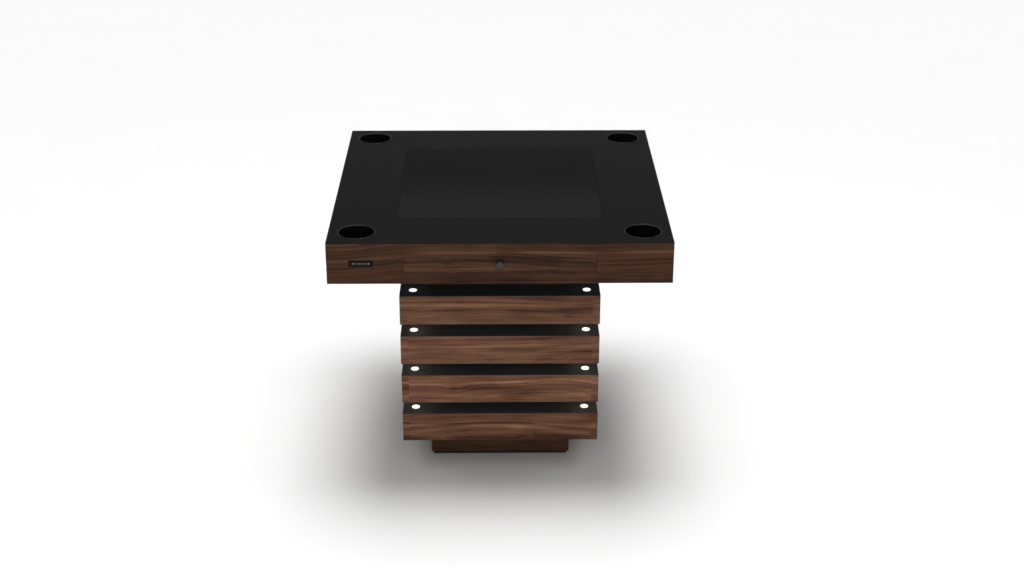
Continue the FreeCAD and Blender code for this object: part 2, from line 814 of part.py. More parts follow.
def make_tier_top(tier, level):
    """The black top: a core between the boards and a thin lip over them."""
    holes = stack_holes()
    holes += [(x, y, d.led_hole_radius) for x, y in four_corners(d.led_x, d.led_y)]
    core_thick = d.tier_top_thick - d.tier_lip
    core = board_with_holes(d.tier_width - 2 * d.tier_board, core_thick, holes)
    sketch = new_sketch(core, lift=core_thick)
    draw_rectangle(sketch, d.tier_width, d.tier_width)
    for x, y, radius in holes:
        draw_circle(sketch, x, y, radius)
    pad(core, sketch, d.tier_lip)
    outside = d.tier_width / 2

    def on_rim(edge):
        at_top = lies_at(edge, "z", d.tier_top_thick)
        return at_top and any(lies_at(edge, axis, way * outside) for axis in "xy" for way in (-1, 1))

    chamfer(core, d.ease, on_rim)
    subpart(f"tier_{tier}_top", place(core, z=level + d.tier_height - d.tier_top_thick))


def make_tier_bottom(tier, level):
    """The board that closes a tier from below, between its boards."""
    board = board_with_holes(d.tier_width - 2 * d.tier_board, d.tier_bottom_thick, stack_holes())
    subpart(f"tier_{tier}_bottom", place(board, z=level))


def make_lenses(tier, level):
    """The four rounded lenses on a tier's top."""
    lenses = []
    for x, y in four_corners(d.led_x, d.led_y):
        body = new_body("Lens")
        corners = [(0, 0), (d.led_radius, 0), (d.led_radius, d.led_rise), (0, d.led_rise)]
        revolve(body, corners)
        fillet(body, d.led_round, lambda edge: is_ring(edge, d.led_radius, d.led_rise))
        lenses.append(place(body, x, y))
    subpart(f"tier_{tier}_light_lenses", place(group(lenses), z=level + d.tier_height))


def make_tiers():
    for tier in range(1, TIERS + 1):
        level = PLINTH_TOP + (tier - 1) * TIER_PITCH
        make_tier_boards(tier, level)
        make_tier_top(tier, level)
        make_tier_bottom(tier, level)
        make_lenses(tier, level)


def make_spacers():
    """A frame of four boards between each tier and the next."""
    for tier in range(1, TIERS):
        frame = square_frame(d.spacer_width, d.frame_board, d.tier_gap)
        level = PLINTH_TOP + tier * TIER_PITCH - d.tier_gap
        subpart(f"tier_spacer_{tier}", place(group(frame), z=level))


def make_neck():
    """The frame of four walnut boards that carries the top box."""
    frame = square_frame(d.neck_width, d.frame_board, d.neck_height)
    subpart("neck_boards", place(group(frame), z=NECK_BOTTOM))


def make_plinth():
    """Four walnut boards, of which the back one has the opening for the power inlet."""
    frame = square_frame(d.plinth_width, d.frame_board, d.plinth_height)
    outside = d.plinth_width / 2
    for board in frame:
        ease_outer_edges(board, outside)
    sketch = new_sketch(frame[2], "XZ_Plane", outside - d.frame_board)
    middle = WIRE_LEVEL - d.pad_height
    draw_rectangle(sketch, d.inlet_width, d.inlet_height, 0, middle)
    pocket(frame[2], sketch, d.frame_board, forward=True)
    subpart("plinth_boards", place(group(frame), z=d.pad_height))

    floor_width = d.plinth_width - 2 * d.frame_board
    floor = board_with_holes(floor_width, d.plinth_floor_thick, stack_holes())
    subpart("plinth_floor", place(floor, z=PLINTH_FLOOR))


def make_foot_pad():
    """The recessed pad that the table stands on."""
    width = d.plinth_width - 2 * d.pad_inset
    subpart("foot_pad", box(width, width, d.pad_height))


# ---- what holds the column together ----------------------------------------------------------


def make_tie_rods():
    """Four rods clamp the column between the plinth's floor board and the top box's base."""
    low = PLINTH_FLOOR - d.washer_thick - d.nut_height - d.rod_end
    high = BASE_TOP + d.washer_thick + d.nut_height + d.rod_end
    places = four_corners(d.rod_x, d.rod_y)
    rods = [cylinder(d.rod_radius, high - low, x, y, low) for x, y in places]
    subpart("tie_rods", group(rods))

    bore = d.rod_radius + d.thread_gap
    washers = []
    nuts = []
    for x, y in places:
        for level in (PLINTH_FLOOR - d.washer_thick, BASE_TOP):
            disc = cylinder(d.washer_radius, d.washer_thick, x, y, level)
            washers.append(cut(disc, cylinder(bore, d.washer_thick, x, y, level)))
        for level in (PLINTH_FLOOR - d.washer_thick - d.nut_height, BASE_TOP + d.washer_thick):
            hexagon = doc.addObject("Part::Prism", "Hexagon")
            hexagon.Polygon = 6
            bind(hexagon, "Circumradius", d.nut_flats / math.sqrt(3))
            bind(hexagon, "Height", d.nut_height)
            place(hexagon, x, y, level)
            nuts.append(cut(hexagon, cylinder(bore, d.nut_height, x, y, level)))
    subpart("tie_rod_washers", group(washers))
    subpart("tie_rod_nuts", group(nuts))


# ---- the lights' wiring ----------------------------------------------------------------------


def tier_top_levels():
    return [PLINTH_TOP + tier * TIER_PITCH + d.tier_height for tier in range(TIERS)]


def make_light_bodies():
    """The body of each light, in its hole under the lens."""
    bodies = []
    for level in tier_top_levels():
        for x, y in four_corners(d.led_x, d.led_y):
            low = level - d.led_body_depth
            bodies.append(cylinder(d.led_body_radius, d.led_body_depth, x, y, low))
    subpart("light_bodies", group(bodies))


def make_driver():
    """The lights' power supply, on the plinth's floor board."""
    body = new_body("Driver")
    sketch = new_sketch(body)
    middle = d.driver_y + d.driver_length / 2
    draw_rectangle(sketch, d.driver_width, d.driver_length, 0, middle)
    pad(body, sketch, d.driver_height)
    chamfer(body, d.driver_chamfer, lambda edge: lies_at(edge, "z", d.driver_height))
    subpart("light_power_supply", place(body, z=PLINTH_FLOOR + d.plinth_floor_thick))


def make_inlet():
    """A two-pin power inlet let into the back of the plinth."""
    body = new_body("Inlet")
    rim_width = d.inlet_width + 2 * d.inlet_rim
    rim_height = d.inlet_height + 2 * d.inlet_rim
    sketch = new_sketch(body)
    draw_rectangle(sketch, rim_width, rim_height)
    pad(body, sketch, d.inlet_rim)
    chamfer(body, d.ease, lambda edge: lies_at(edge, "z", d.inlet_rim))

    sketch = new_sketch(body, lift=-d.inlet_depth)
    draw_rectangle(sketch, d.inlet_width, d.inlet_height)
    pad(body, sketch, d.inlet_depth)

    sketch = new_sketch(body, lift=d.inlet_rim)
    socket_width = d.inlet_width - 2 * d.inlet_side_wall
    socket_height = d.inlet_height - 2 * d.inlet_top_wall
    draw_rectangle(sketch, socket_width, socket_height)
    pocket(body, sketch, d.inlet_socket)

    sketch = new_sketch(body, lift=d.inlet_rim - d.inlet_socket)
    for way in (-1, 1):
        draw_circle(sketch, way * d.inlet_pin_x, 0, d.inlet_pin)
    pad(body, sketch, d.inlet_pin_length)
    place(body, 0, d.plinth_width / 2, WIRE_LEVEL, FACING_BACK)
    subpart("power_inlet", body)


def make_wiring():
    """The cable from the inlet, through the power supply and up the column, with the leads."""
    along_y = Rotation(Vector(1, 0, 0), -90)
    supply_end = d.driver_y + d.driver_length
    inlet_back = d.plinth_width / 2 - d.inlet_depth
    input_length = inlet_back - supply_end
    input_lead = cylinder(d.cable_radius, input_length, 0, supply_end, WIRE_LEVEL, along_y)

    run_length = d.driver_y - d.cable_bend
    run = cylinder(d.cable_radius, run_length, 0, d.cable_bend, WIRE_LEVEL, along_y)
    bend = doc.addObject("Part::Torus", "Bend")
    bind(bend, "Radius1", d.cable_bend)
    bind(bend, "Radius2", d.cable_radius)
    bend.Angle3 = 90
    from_below = Rotation(Vector(0, 0, -1), Vector(0, -1, 0), Vector(-1, 0, 0), "XYZ")
    place(bend, 0, d.cable_bend, WIRE_LEVEL + d.cable_bend, from_below)

    leads_at = [level - d.lead_drop for level in tier_top_levels()]
    riser_foot = WIRE_LEVEL + d.cable_bend
    riser = cylinder(d.cable_radius, leads_at[-1] - riser_foot, z=riser_foot)

    reach = math.hypot(value_of(d.led_x), value_of(d.led_y))
    length = reach - d.led_body_radius - d.lead_gap
    leads = []
    for level in leads_at:
        for x, y in four_corners(d.led_x, d.led_y):
            heading = Vector(value_of(x), value_of(y), 0)
            turn = Rotation(Vector(0, 0, 1), heading)
            leads.append(cylinder(d.lead_radius, length, 0, 0, level, turn))
    subpart("light_wiring", group([input_lead, fuse([run, bend, riser] + leads)]))


# ---- build, check and write ------------------------------------------------------------------


def check(thing):
    """Stop if a sub-part has no sound solid."""
    shape = thing.Shape
    if shape.isNull() or not shape.isValid() or not shape.Solids:
        raise RuntimeError(f"{thing.Label}: no valid solid")


def main():
    make_aprons()
    make_top_skin()
    make_top_core()
    make_inset_panel()
    make_cup_holders()
    make_top_base()
    make_name_plate()
    make_drawer_front()
    make_drawer_sides()
    make_drawer_back()
    make_drawer_bottom()
    make_drawer_liner()
    make_knob()
    make_knob_screw()
    make_runners()
    make_runner_boards()
    make_tiers()
    make_spacers()
    make_neck()
    make_plinth()
    make_foot_pad()
    make_tie_rods()
    make_light_bodies()
    make_driver()
    make_inlet()
    make_wiring()
    doc.recompute()

    for thing in doc.Objects:
        if "Invalid" in thing.State or "Error" in thing.State:
            raise RuntimeError(f"{thing.Label} failed: {thing.State}")
    for thing in subparts:
        check(thing)
    os.makedirs("parts", exist_ok=True)
    for thing in subparts:
        thing.Shape.exportStep(f"parts/{thing.Label}.step")
    print(f"{len(subparts)} sub-parts written")


main()
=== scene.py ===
import math

import bmesh
import bpy
from mathutils import Euler, Matrix, Vector, noise


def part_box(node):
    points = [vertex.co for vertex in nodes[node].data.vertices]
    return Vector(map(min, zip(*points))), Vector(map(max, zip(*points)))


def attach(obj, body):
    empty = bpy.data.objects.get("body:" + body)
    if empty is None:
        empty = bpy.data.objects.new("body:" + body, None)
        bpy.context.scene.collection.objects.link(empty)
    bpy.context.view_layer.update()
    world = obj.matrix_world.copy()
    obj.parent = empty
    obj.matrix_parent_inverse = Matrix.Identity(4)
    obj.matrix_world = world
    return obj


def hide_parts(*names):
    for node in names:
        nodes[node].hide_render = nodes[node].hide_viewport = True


# The looks of a square gaming table: materials for the CAD nodes, finer pieces in place of the
# knob, the name plate, the cup holders, the light lenses and the felt mat, a floor, studio light
# and the camera. Lengths are in metres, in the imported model's frame: +Z up, drawer facing -Y.

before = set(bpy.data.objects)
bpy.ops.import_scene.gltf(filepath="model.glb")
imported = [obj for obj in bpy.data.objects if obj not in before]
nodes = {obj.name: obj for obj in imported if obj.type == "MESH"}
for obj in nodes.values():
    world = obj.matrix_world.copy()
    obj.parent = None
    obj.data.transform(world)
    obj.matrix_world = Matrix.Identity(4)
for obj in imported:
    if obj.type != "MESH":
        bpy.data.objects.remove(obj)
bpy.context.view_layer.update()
MM = 0.001


# ---- the node builder ------------------------------------------------------------------------


class Value:
    """A socket of a material's node tree. Arithmetic on it adds the nodes that work it out."""

    def __init__(self, tree, socket):
        self.tree = tree
        self.socket = socket

    def __add__(self, other):
        return self.tree.math("ADD", self, other)

    def __radd__(self, other):
        return self.tree.math("ADD", other, self)

    def __sub__(self, other):
        return self.tree.math("SUBTRACT", self, other)

    def __rsub__(self, other):
        return self.tree.math("SUBTRACT", other, self)

    def __mul__(self, other):
        return self.tree.math("MULTIPLY", self, other)

    def __rmul__(self, other):
        return self.tree.math("MULTIPLY", other, self)

    def __truediv__(self, other):
        return self.tree.math("DIVIDE", self, other)

    def __abs__(self):
        return self.tree.math("ABSOLUTE", self)

    def ramp(self, low, high):
        """0 below low and 1 above high, with a smooth change between. low may be above high."""
        span = {"Value": self, "From Min": low, "From Max": high}
        node = self.tree.add("MapRange", span, interpolation_type="SMOOTHSTEP")
        return Value(self.tree, node.outputs["Result"])


class Tree:
    """A material's nodes. Each call adds a node and gives the value that comes out of it."""

    def __init__(self, owner):
        owner.use_nodes = True
        self.nodes = owner.node_tree.nodes
        self.links = owner.node_tree.links
        self.nodes.clear()

    def feed(self, socket, value):
        if isinstance(value, Value):
            self.links.new(value.socket, socket)
        else:
            socket.default_value = value

    def add(self, kind, inputs=None, **settings):
        node = self.nodes.new("ShaderNode" + kind)
        for name, value in settings.items():
            setattr(node, name, value)
        for key, value in (inputs or {}).items():
            self.feed(node.inputs[key], value)
        return node

    def math(self, operation, *terms):
        node = self.add("Math", dict(enumerate(terms)), operation=operation)
        return Value(self, node.outputs[0])

    def larger(self, a, b):
        return self.math("MAXIMUM", a, b)

    def distance(self, *sides):
        """The length of a vector with these sides."""
        total = sum((side * side for side in sides[1:]), sides[0] * sides[0])
        return self.math("SQRT", total)

    def place(self):
        """Where the surface is: x, y and z in metres."""
        spot = self.add("TexCoord").outputs["Object"]
        parts = self.add("SeparateXYZ", {0: Value(self, spot)})
        return [Value(self, socket) for socket in parts.outputs]

    def facing(self):
        """The surface's normal as x, y and z."""
        normal = self.add("NewGeometry").outputs["Normal"]
        parts = self.add("SeparateXYZ", {0: Value(self, normal)})
        return [Value(self, socket) for socket in parts.outputs]

    def vector(self, x, y, z):
        return Value(self, self.add("CombineXYZ", {0: x, 1: y, 2: z}).outputs[0])

    def noise(self, x, y, z, detail=2, roughness=0.5):
        """Cloudy noise, 0 to 1 round 0.5, with one blob for each unit of x, y and z."""
        inputs = {"Vector": self.vector(x, y, z), "Scale": 1}
        inputs.update({"Detail": detail, "Roughness": roughness})
        return Value(self, self.add("TexNoise", inputs).outputs["Fac"])

    def line_noise(self, position, detail=2, roughness=0.5):
        """Noise along one line, 0 to 1 round 0.5."""
        inputs = {"W": position, "Scale": 1, "Detail": detail, "Roughness": roughness}
        node = self.add("TexNoise", inputs, noise_dimensions="1D")
        return Value(self, node.outputs["Fac"])

    def specks(self, x, y, z, size):
        """1 in the middle of scattered specks and 0 off them, one speck for each unit."""
        inputs = {"Vector": self.vector(x, y, z), "Scale": 1}
        node = self.add("TexVoronoi", inputs)
        return Value(self, node.outputs["Distance"]).ramp(size, size / 3)

    def colours(self, value, stops):
        """The colour for a value, from stops of (value, colour)."""
        node = self.add("ValToRGB", {"Fac": value})
        band = node.color_ramp
        band.interpolation = "EASE"
        while len(band.elements) < len(stops):
            band.elements.new(0.5)
        for element, (position, colour) in zip(band.elements, stops):
            element.position = position
            element.color = (*colour, 1)
        return Value(self, node.outputs["Color"])

    def mix(self, share, first, second, how="MIX"):
        """Two colours mixed, with this share of the second one."""
        node = self.add("Mix", data_type="RGBA", blend_type=how)
        sockets = [s for s in node.inputs if s.enabled]
        for socket, value in zip(sockets, (share, first, second)):
            self.feed(socket, (*value, 1) if isinstance(value, tuple) else value)
        return Value(self, next(s for s in node.outputs if s.enabled))

    def shade(self, colour, value):
        """A colour made lighter or darker by a value round 1."""
        return self.mix(1, colour, self.vector(value, value, value), "MULTIPLY")

    def bump(self, height, depth):
        """The normal of a surface whose height, 0 to 1, stands for this depth."""
        node = self.add("Bump", {"Strength": 1, "Distance": depth, "Height": height})
        return Value(self, node.outputs["Normal"])

    def surface(self, colour, roughness, normal=None, **extra):
        """The Principled shader and the output."""
        inputs = {"Base Color": colour, "Roughness": roughness}
        if normal:
            inputs["Normal"] = normal
        inputs.update({name.replace("_", " "): value for name, value in extra.items()})
        inputs = {k: (*v, 1) if isinstance(v, tuple) else v for k, v in inputs.items()}
        shader = self.add("BsdfPrincipled", inputs)
        self.add("OutputMaterial", {"Surface": Value(self, shader.outputs["BSDF"])})


def new_material(name):
    material = bpy.data.materials.new(name)
    return material, Tree(material)


# ---- walnut ----------------------------------------------------------------------------------

WALNUT_STOPS = [
    (0.30, (0.065, 0.026, 0.015)),
    (0.42, (0.120, 0.053, 0.030)),
    (0.52, (0.171, 0.080, 0.046)),
    (0.62, (0.226, 0.111, 0.063)),
    (0.74, (0.330, 0.175, 0.100)),
]
WALNUT_KNOT = (0.022, 0.012, 0.009)
RING_WIDTH = 5.2 * MM
# Where the middle of the rings lies: behind the face and below the board's middle
PITH_DEPTH = 62 * MM
PITH_DROP = 34 * MM
# Added to the place along the grain of a board that runs back, so that it differs from the front
OTHER_BOARD = 3

# These multiply the walnut's colour: a darker tone on the apron and the drawer, painted shade on
# the neck and the plinth, which stand in shadow, and painted light and shade that changes from tier
# to tier
APRON_TONE = (0.35, 0.34, 0.31)
DRAWER_TONE = (0.38, 0.38, 0.35)
PLINTH_PAINTED_SHADE = (0.42, 0.43, 0.41)
NECK_PAINTED_SHADE = (0.30, 0.29, 0.27)
# Painted light and shade on each tier's walnut: darkest on tier 4 under the top, palest on tier 2
TIER_PAINTED_LIGHT_AND_SHADE = {1: 1.04, 2: 1.10, 3: 1.00, 4: 0.88}


def grain_along_x(tree):
    """Grain that runs along x, for a board that faces the front or the back."""
    x, y, z = tree.place()
    return x, z, abs(y)


def grain_along_y(tree):
    """Grain that runs along y, for a board that faces a side."""
    x, y, z = tree.place()
    return y, z, abs(x)


def choose(share, first, second):
    """The first value where share is 0 and the second where it is 1."""
    return first + (second - first) * share


def grain_of_frame(tree):
    """Four mitred boards: the grain runs along each board."""
    x, y, z = tree.place()
    on_side = tree.math("GREATER_THAN", abs(x), abs(y))
    return choose(on_side, x, y + OTHER_BOARD), z, choose(on_side, abs(y), abs(x))


def grain_of_tier(tree, side_from):
    """Side boards that run the full depth from |x| = side_from out, with another piece of veneer
    on their ends, which matches well on the right, and boards between them."""
    x, y, z = tree.place()
    on_left = tree.math("LESS_THAN", x, -side_from)
    on_right = tree.math("GREATER_THAN", x, side_from)
    runs_back = (on_left + on_right) * tree.math("LESS_THAN", abs(tree.facing()[1]), 0.7)
    along = choose(runs_back, x + on_left * 0.24 + on_right * 0.05, y + OTHER_BOARD)
    return along, z, choose(runs_back, abs(y), abs(x))


def walnut(
    name, grain, middle, outside, seed, tone_and_painted_shade=(1, 1, 1), knots=(), streaks_and_painted_shade=(), left_end_rise=0.0
):
    """Oiled walnut. grain gives (along, across, depth) for the board, middle is the board's
    height, outside the distance from the table's middle to its face and tone_and_painted_shade
    multiplies its colour: the tone of the wood, and painted light and shade on the neck, the plinth
    and the tiers. knots are (along, across, half length, half height) and streaks_and_painted_shade
    (across, half height, change of shade) from the board's middle: grain streaks, and painted shade
    along the foot of tier 1. left_end_rise bends the grain down to the left."""
    material, tree = new_material(name)
    along, across, depth = grain(tree)
    across = across - middle
    depth = outside - depth
    level = across
    if left_end_rise:
        level = level + along.ramp(-0.12, -0.47) * left_end_rise

    # The rings run round a pith that wanders behind the face
    wander = tree.line_noise(along * 1.3 + seed, 1) - 0.5
    closer = tree.line_noise(along * 1.5 + seed + 40, 1) - 0.5
    off_pith = level + wander * 0.05 + PITH_DROP
    into_pith = depth + PITH_DEPTH + closer * 0.020
    ripple = tree.noise(along * 5, across * 30, depth * 30 + seed, 2) - 0.5
    radius = tree.distance(off_pith, into_pith) + ripple * 0.006
    dark = 0
    for knot_along, knot_across, half_length, half_height in knots:
        ragged = tree.noise(along * 70, across * 260, depth * 260 + seed, 2) - 0.5
        aside = (along - knot_along) / half_length
        above = (across - knot_across) / half_height
        away = tree.distance(aside, above) + ragged * 0.8
        radius = radius + away.ramp(3.4, 0) * half_height
        dark = dark + away.ramp(1.0, 0.2) * 0.75

    rings = radius / RING_WIDTH
    bands = tree.line_noise(rings + seed, 3, 0.62)
    fine_lines = tree.line_noise(rings * 3.3 + seed, 1)
    drift = tree.noise(along * 3, level * 60 + wander, depth * 60 + seed, 2)
    lines = tree.noise(along * 2.6, level * 250 + wander * 3, depth * 250 + seed, 3, 0.6)
    mottle = tree.noise(along * 7, across * 20, depth * 20 + seed, 3)
    fibres = tree.noise(along * 22, across * 700, depth * 700, 2, 0.6)
    pores = tree.noise(along * 95, across * 2600, depth * 2600, 1).ramp(0.62, 0.72)

    shade = 0.26 + bands * 0.48 + (drift - 0.5) * 0.36 + (lines - 0.5) * 0.40
    shade = shade + (mottle - 0.5) * 0.36 + (fibres - 0.5) * 0.18
    sway = (tree.line_noise(along * 4 + seed + 9, 1) - 0.5) * 0.010
    # Bands made paler or darker along the board: streaks of the grain, and painted shade where one
    # is given for it
    for height, half_height, change in streaks_and_painted_shade:
        patchy = tree.line_noise(along * 5 + seed + 900 * height, 1).ramp(0.15, 0.60)
        shade = shade + abs(level - height + sway).ramp(half_height * 1.6, 0) * patchy * change
    colour = tree.colours(shade, WALNUT_STOPS)
    colour = tree.shade(colour, 1 - fine_lines.ramp(0.54, 0.70) * 0.10)
    violet = tree.noise(along * 2.2, across * 9, depth * 9 + seed + 7, 1).ramp(0.42, 0.66)
    colour = tree.mix(violet * 0.5, colour, (0.92, 0.82, 0.88), "MULTIPLY")
    colour = tree.shade(colour, 1 - pores * 0.35)
    if knots:
        colour = tree.mix(dark, colour, WALNUT_KNOT)
    # Multiplied by the board's tone, which on the neck, the plinth and the tiers is painted light
    # and shade
    colour = tree.mix(1, colour, tone_and_painted_shade, "MULTIPLY")

    # The eased edges are made a little paler: partly rubbed wear, partly a painted highlight
    x, y, z = (abs(part) for part in tree.facing())
    flat = tree.larger(tree.larger(x, y), z)
    wear_and_highlight = flat.ramp(0.95, 0.75)
    colour = tree.shade(colour, 1 + wear_and_highlight * 0.12)
    gloss = 0.52 - (bands - 0.5) * 0.12 + pores * 0.2 + wear_and_highlight * 0.1
    height = fibres * 0.5 + (1 - pores) * 0.4 + bands * 0.3
    bumps = tree.bump(height, 0.12 * MM)
    tree.surface(colour, gloss, bumps, Specular_IOR_Level=0.08)
    return material


# ---- the other materials ---------------------------------------------------------------------


def edge_of(tree):
    """1 on eased edges, whose normals lie off the axes, and 0 on flat faces."""
    x, y, z = (abs(part) for part in tree.facing())
    return tree.larger(tree.larger(x, y), z).ramp(0.97, 0.8)


def black_laminate(name, colour):
    """Satin black sheet: a faint pebble, wiping marks in its gloss, dust specks and cut edges
    painted paler as a highlight.
    """
    material, tree = new_material(name)
    x, y, z = tree.place()
    pebble = tree.noise(x * 900, y * 900, z * 900, 2)
    wiping = tree.noise(x * 5, y * 22, z * 22, 4, 0.6)
    dust = tree.specks(x * 160, y * 160, z * 160, 0.09)
    edge = edge_of(tree)
    low = tuple(part * 0.72 for part in colour)
    high = tuple(part * 1.28 for part in colour)
    paint = tree.mix(pebble, low, high)
    # Dust specks, and the eased edges painted paler as a highlight
    paint = tree.mix(edge * 0.4 + dust * 0.12, paint, (0.018, 0.017, 0.016))
    gloss = 0.18 + wiping * 0.07 + edge * 0.1
    tree.surface(paint, gloss, tree.bump(pebble, 0.004 * MM), Specular_IOR_Level=0.09)
    return material


def black_glass():
    """Back-painted glass with the faintest smears."""
    material, tree = new_material("black_glass")
    x, y, z = tree.place()
    smear = tree.noise(x * 9, y * 13, z, 5, 0.62)
    dust = tree.specks(x * 220, y * 220, z, 0.06)
    edge = edge_of(tree)
    # Dust specks, and the chamfered edges painted paler as a highlight
    colour = tree.mix(dust * 0.08 + edge * 0.6, (0.0013, 0.0013, 0.0014), (0.014, 0.015, 0.015))
    tree.surface(colour, 0.045 + smear.ramp(0.5, 0.8) * 0.06 + dust * 0.2, IOR=1.5)
    return material


def satin_black(name, colour, gloss, shine):
    """Fine powder coat on metal."""
    material, tree = new_material(name)
    x, y, z = tree.place()
    grain = tree.noise(x * 2200, y * 2200, z * 2200, 1)
    cloud = tree.noise(x * 30, y * 30, z * 30, 3)
    dark = (colour * 0.85, colour * 0.85, colour * 0.88)
    light = (colour * 1.15, colour * 1.15, colour * 1.2)
    paint = tree.mix(grain, dark, light)
    # The eased edges painted paler as a highlight
    paint = tree.mix(edge_of(tree) * 0.3, paint, (0.03, 0.03, 0.031))
    bumps = tree.bump(grain, 0.01 * MM)
    tree.surface(paint, gloss + cloud * 0.08, bumps, Specular_IOR_Level=shine)
    return material


def black_board():
    """Black stained board with a little of its grain left."""
    material, tree = new_material("black_board")
    x, y, z = tree.place()
    grain = tree.noise(x * 14, y * 320, z * 320, 4, 0.6)
    cloud = tree.noise(x * 12, y * 12, z * 12, 3)
    colour = tree.mix(grain.ramp(0.3, 0.7), (0.005, 0.005, 0.005), (0.013, 0.012, 0.012))
    colour = tree.shade(colour, 0.8 + cloud * 0.4)
    tree.surface(colour, 0.55 + grain * 0.15, tree.bump(grain, 0.05 * MM))
    return material


def plywood_panel(name, thin_axis):
    """Birch plywood for a panel that is thin along one axis (0, 1 or 2)."""
    material, tree = new_material(name)
    spot = tree.place()
    normal = [abs(part) for part in tree.facing()]
    long_way, other_way = [spot[axis] for axis in range(3) if axis != thin_axis]
    through = spot[thin_axis]
    wave = tree.noise(long_way * 4, other_way * 4, through * 4, 2) - 0.5
    figure = tree.line_noise((other_way + wave * 0.10) * 70, 3, 0.6)
    fibre = tree.noise(long_way * 30, other_way * 900, through * 900, 2)
    cloud = tree.noise(long_way * 4, other_way * 8, through * 8, 3)
    shade = figure * 0.65 + cloud * 0.35 + (fibre - 0.5) * 0.15
    stops = [(0.3, (0.43, 0.29, 0.17)), (0.5, (0.55, 0.40, 0.25)), (0.72, (0.65, 0.50, 0.34))]
    face = tree.colours(shade, stops)
    flecks = tree.noise(long_way * 70, other_way * 1600, through * 1600, 1).ramp(0.66, 0.74)
    face = tree.mix(flecks * 0.35, face, (0.30, 0.18, 0.10))

    ply = 1.5 * MM
    plies = tree.math("SINE", through * (math.pi / ply))
    edge = tree.mix(plies.ramp(-0.4, 0.4), (0.36, 0.22, 0.12), (0.60, 0.44, 0.28))
    glue = (1 - abs(plies)).ramp(0.8, 1)
    edge = tree.mix(glue * 0.55, edge, (0.13, 0.075, 0.04))
    on_edge = normal[thin_axis].ramp(0.8, 0.4)
    colour = tree.mix(on_edge, face, edge)
    tree.surface(colour, 0.5 + fibre * 0.15, tree.bump(fibre, 0.05 * MM), Specular_IOR_Level=0.35)
    return material


def felt():
    """Short charcoal felt: tangled fibres, lighter and darker threads and a soft sheen."""
    material, tree = new_material("charcoal_felt")
    x, y, z = tree.place()
    tangle = tree.noise(x * 1400, y * 1400, z * 1400, 4, 0.7)
    twist = tree.noise(x * 400, y * 900, z * 400, 3, 0.6)
    cloud = tree.noise(x * 30, y * 30, z * 30, 3)
    stops = [
        (0.35, (0.012, 0.012, 0.014)),
        (0.52, (0.032, 0.032, 0.036)),
        (0.70, (0.085, 0.085, 0.092)),
    ]
    colour = tree.colours(tangle * 0.6 + twist * 0.3 + cloud * 0.1, stops)
    height = tangle * 0.7 + twist * 0.3
    tree.surface(
        colour,
        0.95,
        tree.bump(height, 0.35 * MM),
        Specular_IOR_Level=0.15,
        Sheen_Weight=0.35,
        Sheen_Roughness=0.5,
    )
    return material


def moulded_black(name, colour, gloss, inside=None):
    """Fine-grained moulded plastic. Below the height inside, where given, it is matt and darkened
    with painted shade.
    """
    material, tree = new_material(name)
    x, y, z = tree.place()
    grain = tree.noise(x * 1600, y * 1600, z * 1600, 3, 0.6)
    scuffs = tree.noise(x * 40, y * 40, z * 180, 4, 0.65).ramp(0.58, 0.75)
    low = (colour * 0.7, colour * 0.7, colour * 0.72)
    high = (colour * 1.3, colour * 1.3, colour * 1.35)
    paint = tree.mix(grain, low, high)
    paint = tree.mix(scuffs * 0.12, paint, (0.05, 0.05, 0.05))
    shine = 0.45
    gloss = gloss + scuffs * 0.14
    if inside:
        # Below the given height the colour is darkened as painted shade, and the gloss turns matt
        shaded_matt_inside = z.ramp(inside, inside - 1.5 * MM)
        paint = tree.shade(paint, 1 - shaded_matt_inside * 0.8)
        shine = shine - shaded_matt_inside * 0.4
        gloss = gloss + shaded_matt_inside * 0.35
    tree.surface(paint, gloss, tree.bump(grain, 0.02 * MM), Specular_IOR_Level=shine)
    return material


def turned_metal(name, colour, centre, axis, gloss, metal):
    """Metal turned on a lathe: fine rings round an axis through a centre. metal is how metallic
    it looks, 0 to 1."""
    material, tree = new_material(name)
    spot = [part - middle for part, middle in zip(tree.place(), centre)]
    radial = tree.distance(*[part for i, part in enumerate(spot) if i != axis])
    rings = tree.line_noise(radial * 5200, 2, 0.6)
    cloud = tree.noise(spot[0] * 90, spot[1] * 90, spot[2] * 90, 3)
    dark = tuple(part * 0.82 for part in colour)
    light = tuple(min(1, part * 1.18) for part in colour)
    paint = tree.mix(rings * 0.6 + cloud * 0.4, dark, light)
    roughness = gloss + rings * 0.10 + cloud * 0.06
    tree.surface(paint, roughness, tree.bump(rings, 0.01 * MM), Metallic=metal)
    return material


def zinc_steel(thread_pitch=0):
    """Bright zinc plate on rolled steel, threaded along z where a pitch is given."""
    name = "zinc_thread" if thread_pitch else "zinc_steel"
    material, tree = new_material(name)
    x, y, z = tree.place()
    rolled = tree.noise(x * 400, y * 12, z * 400, 3, 0.6)
    spangle = tree.noise(x * 120, y * 120, z * 120, 2)
    stops = [(0.3, (0.42, 0.43, 0.45)), (0.55, (0.56, 0.57, 0.60)), (0.75, (0.66, 0.67, 0.68))]
    colour = tree.colours(spangle * 0.6 + rolled * 0.4, stops)
    height = rolled * 0.1
    depth = 0.05 * MM
    if thread_pitch:
        turn = tree.math("ARCTAN2", y, x) / (2 * math.pi)
        height = tree.math("SINE", (z / thread_pitch + turn) * (2 * math.pi)) * 0.5 + height
        depth = 0.4 * MM
    tree.surface(colour, 0.30 + spangle * 0.14, tree.bump(height, depth), Metallic=1)
    return material


LENS_RADIUS = 11 * MM
LENS_GLOW = 1.0


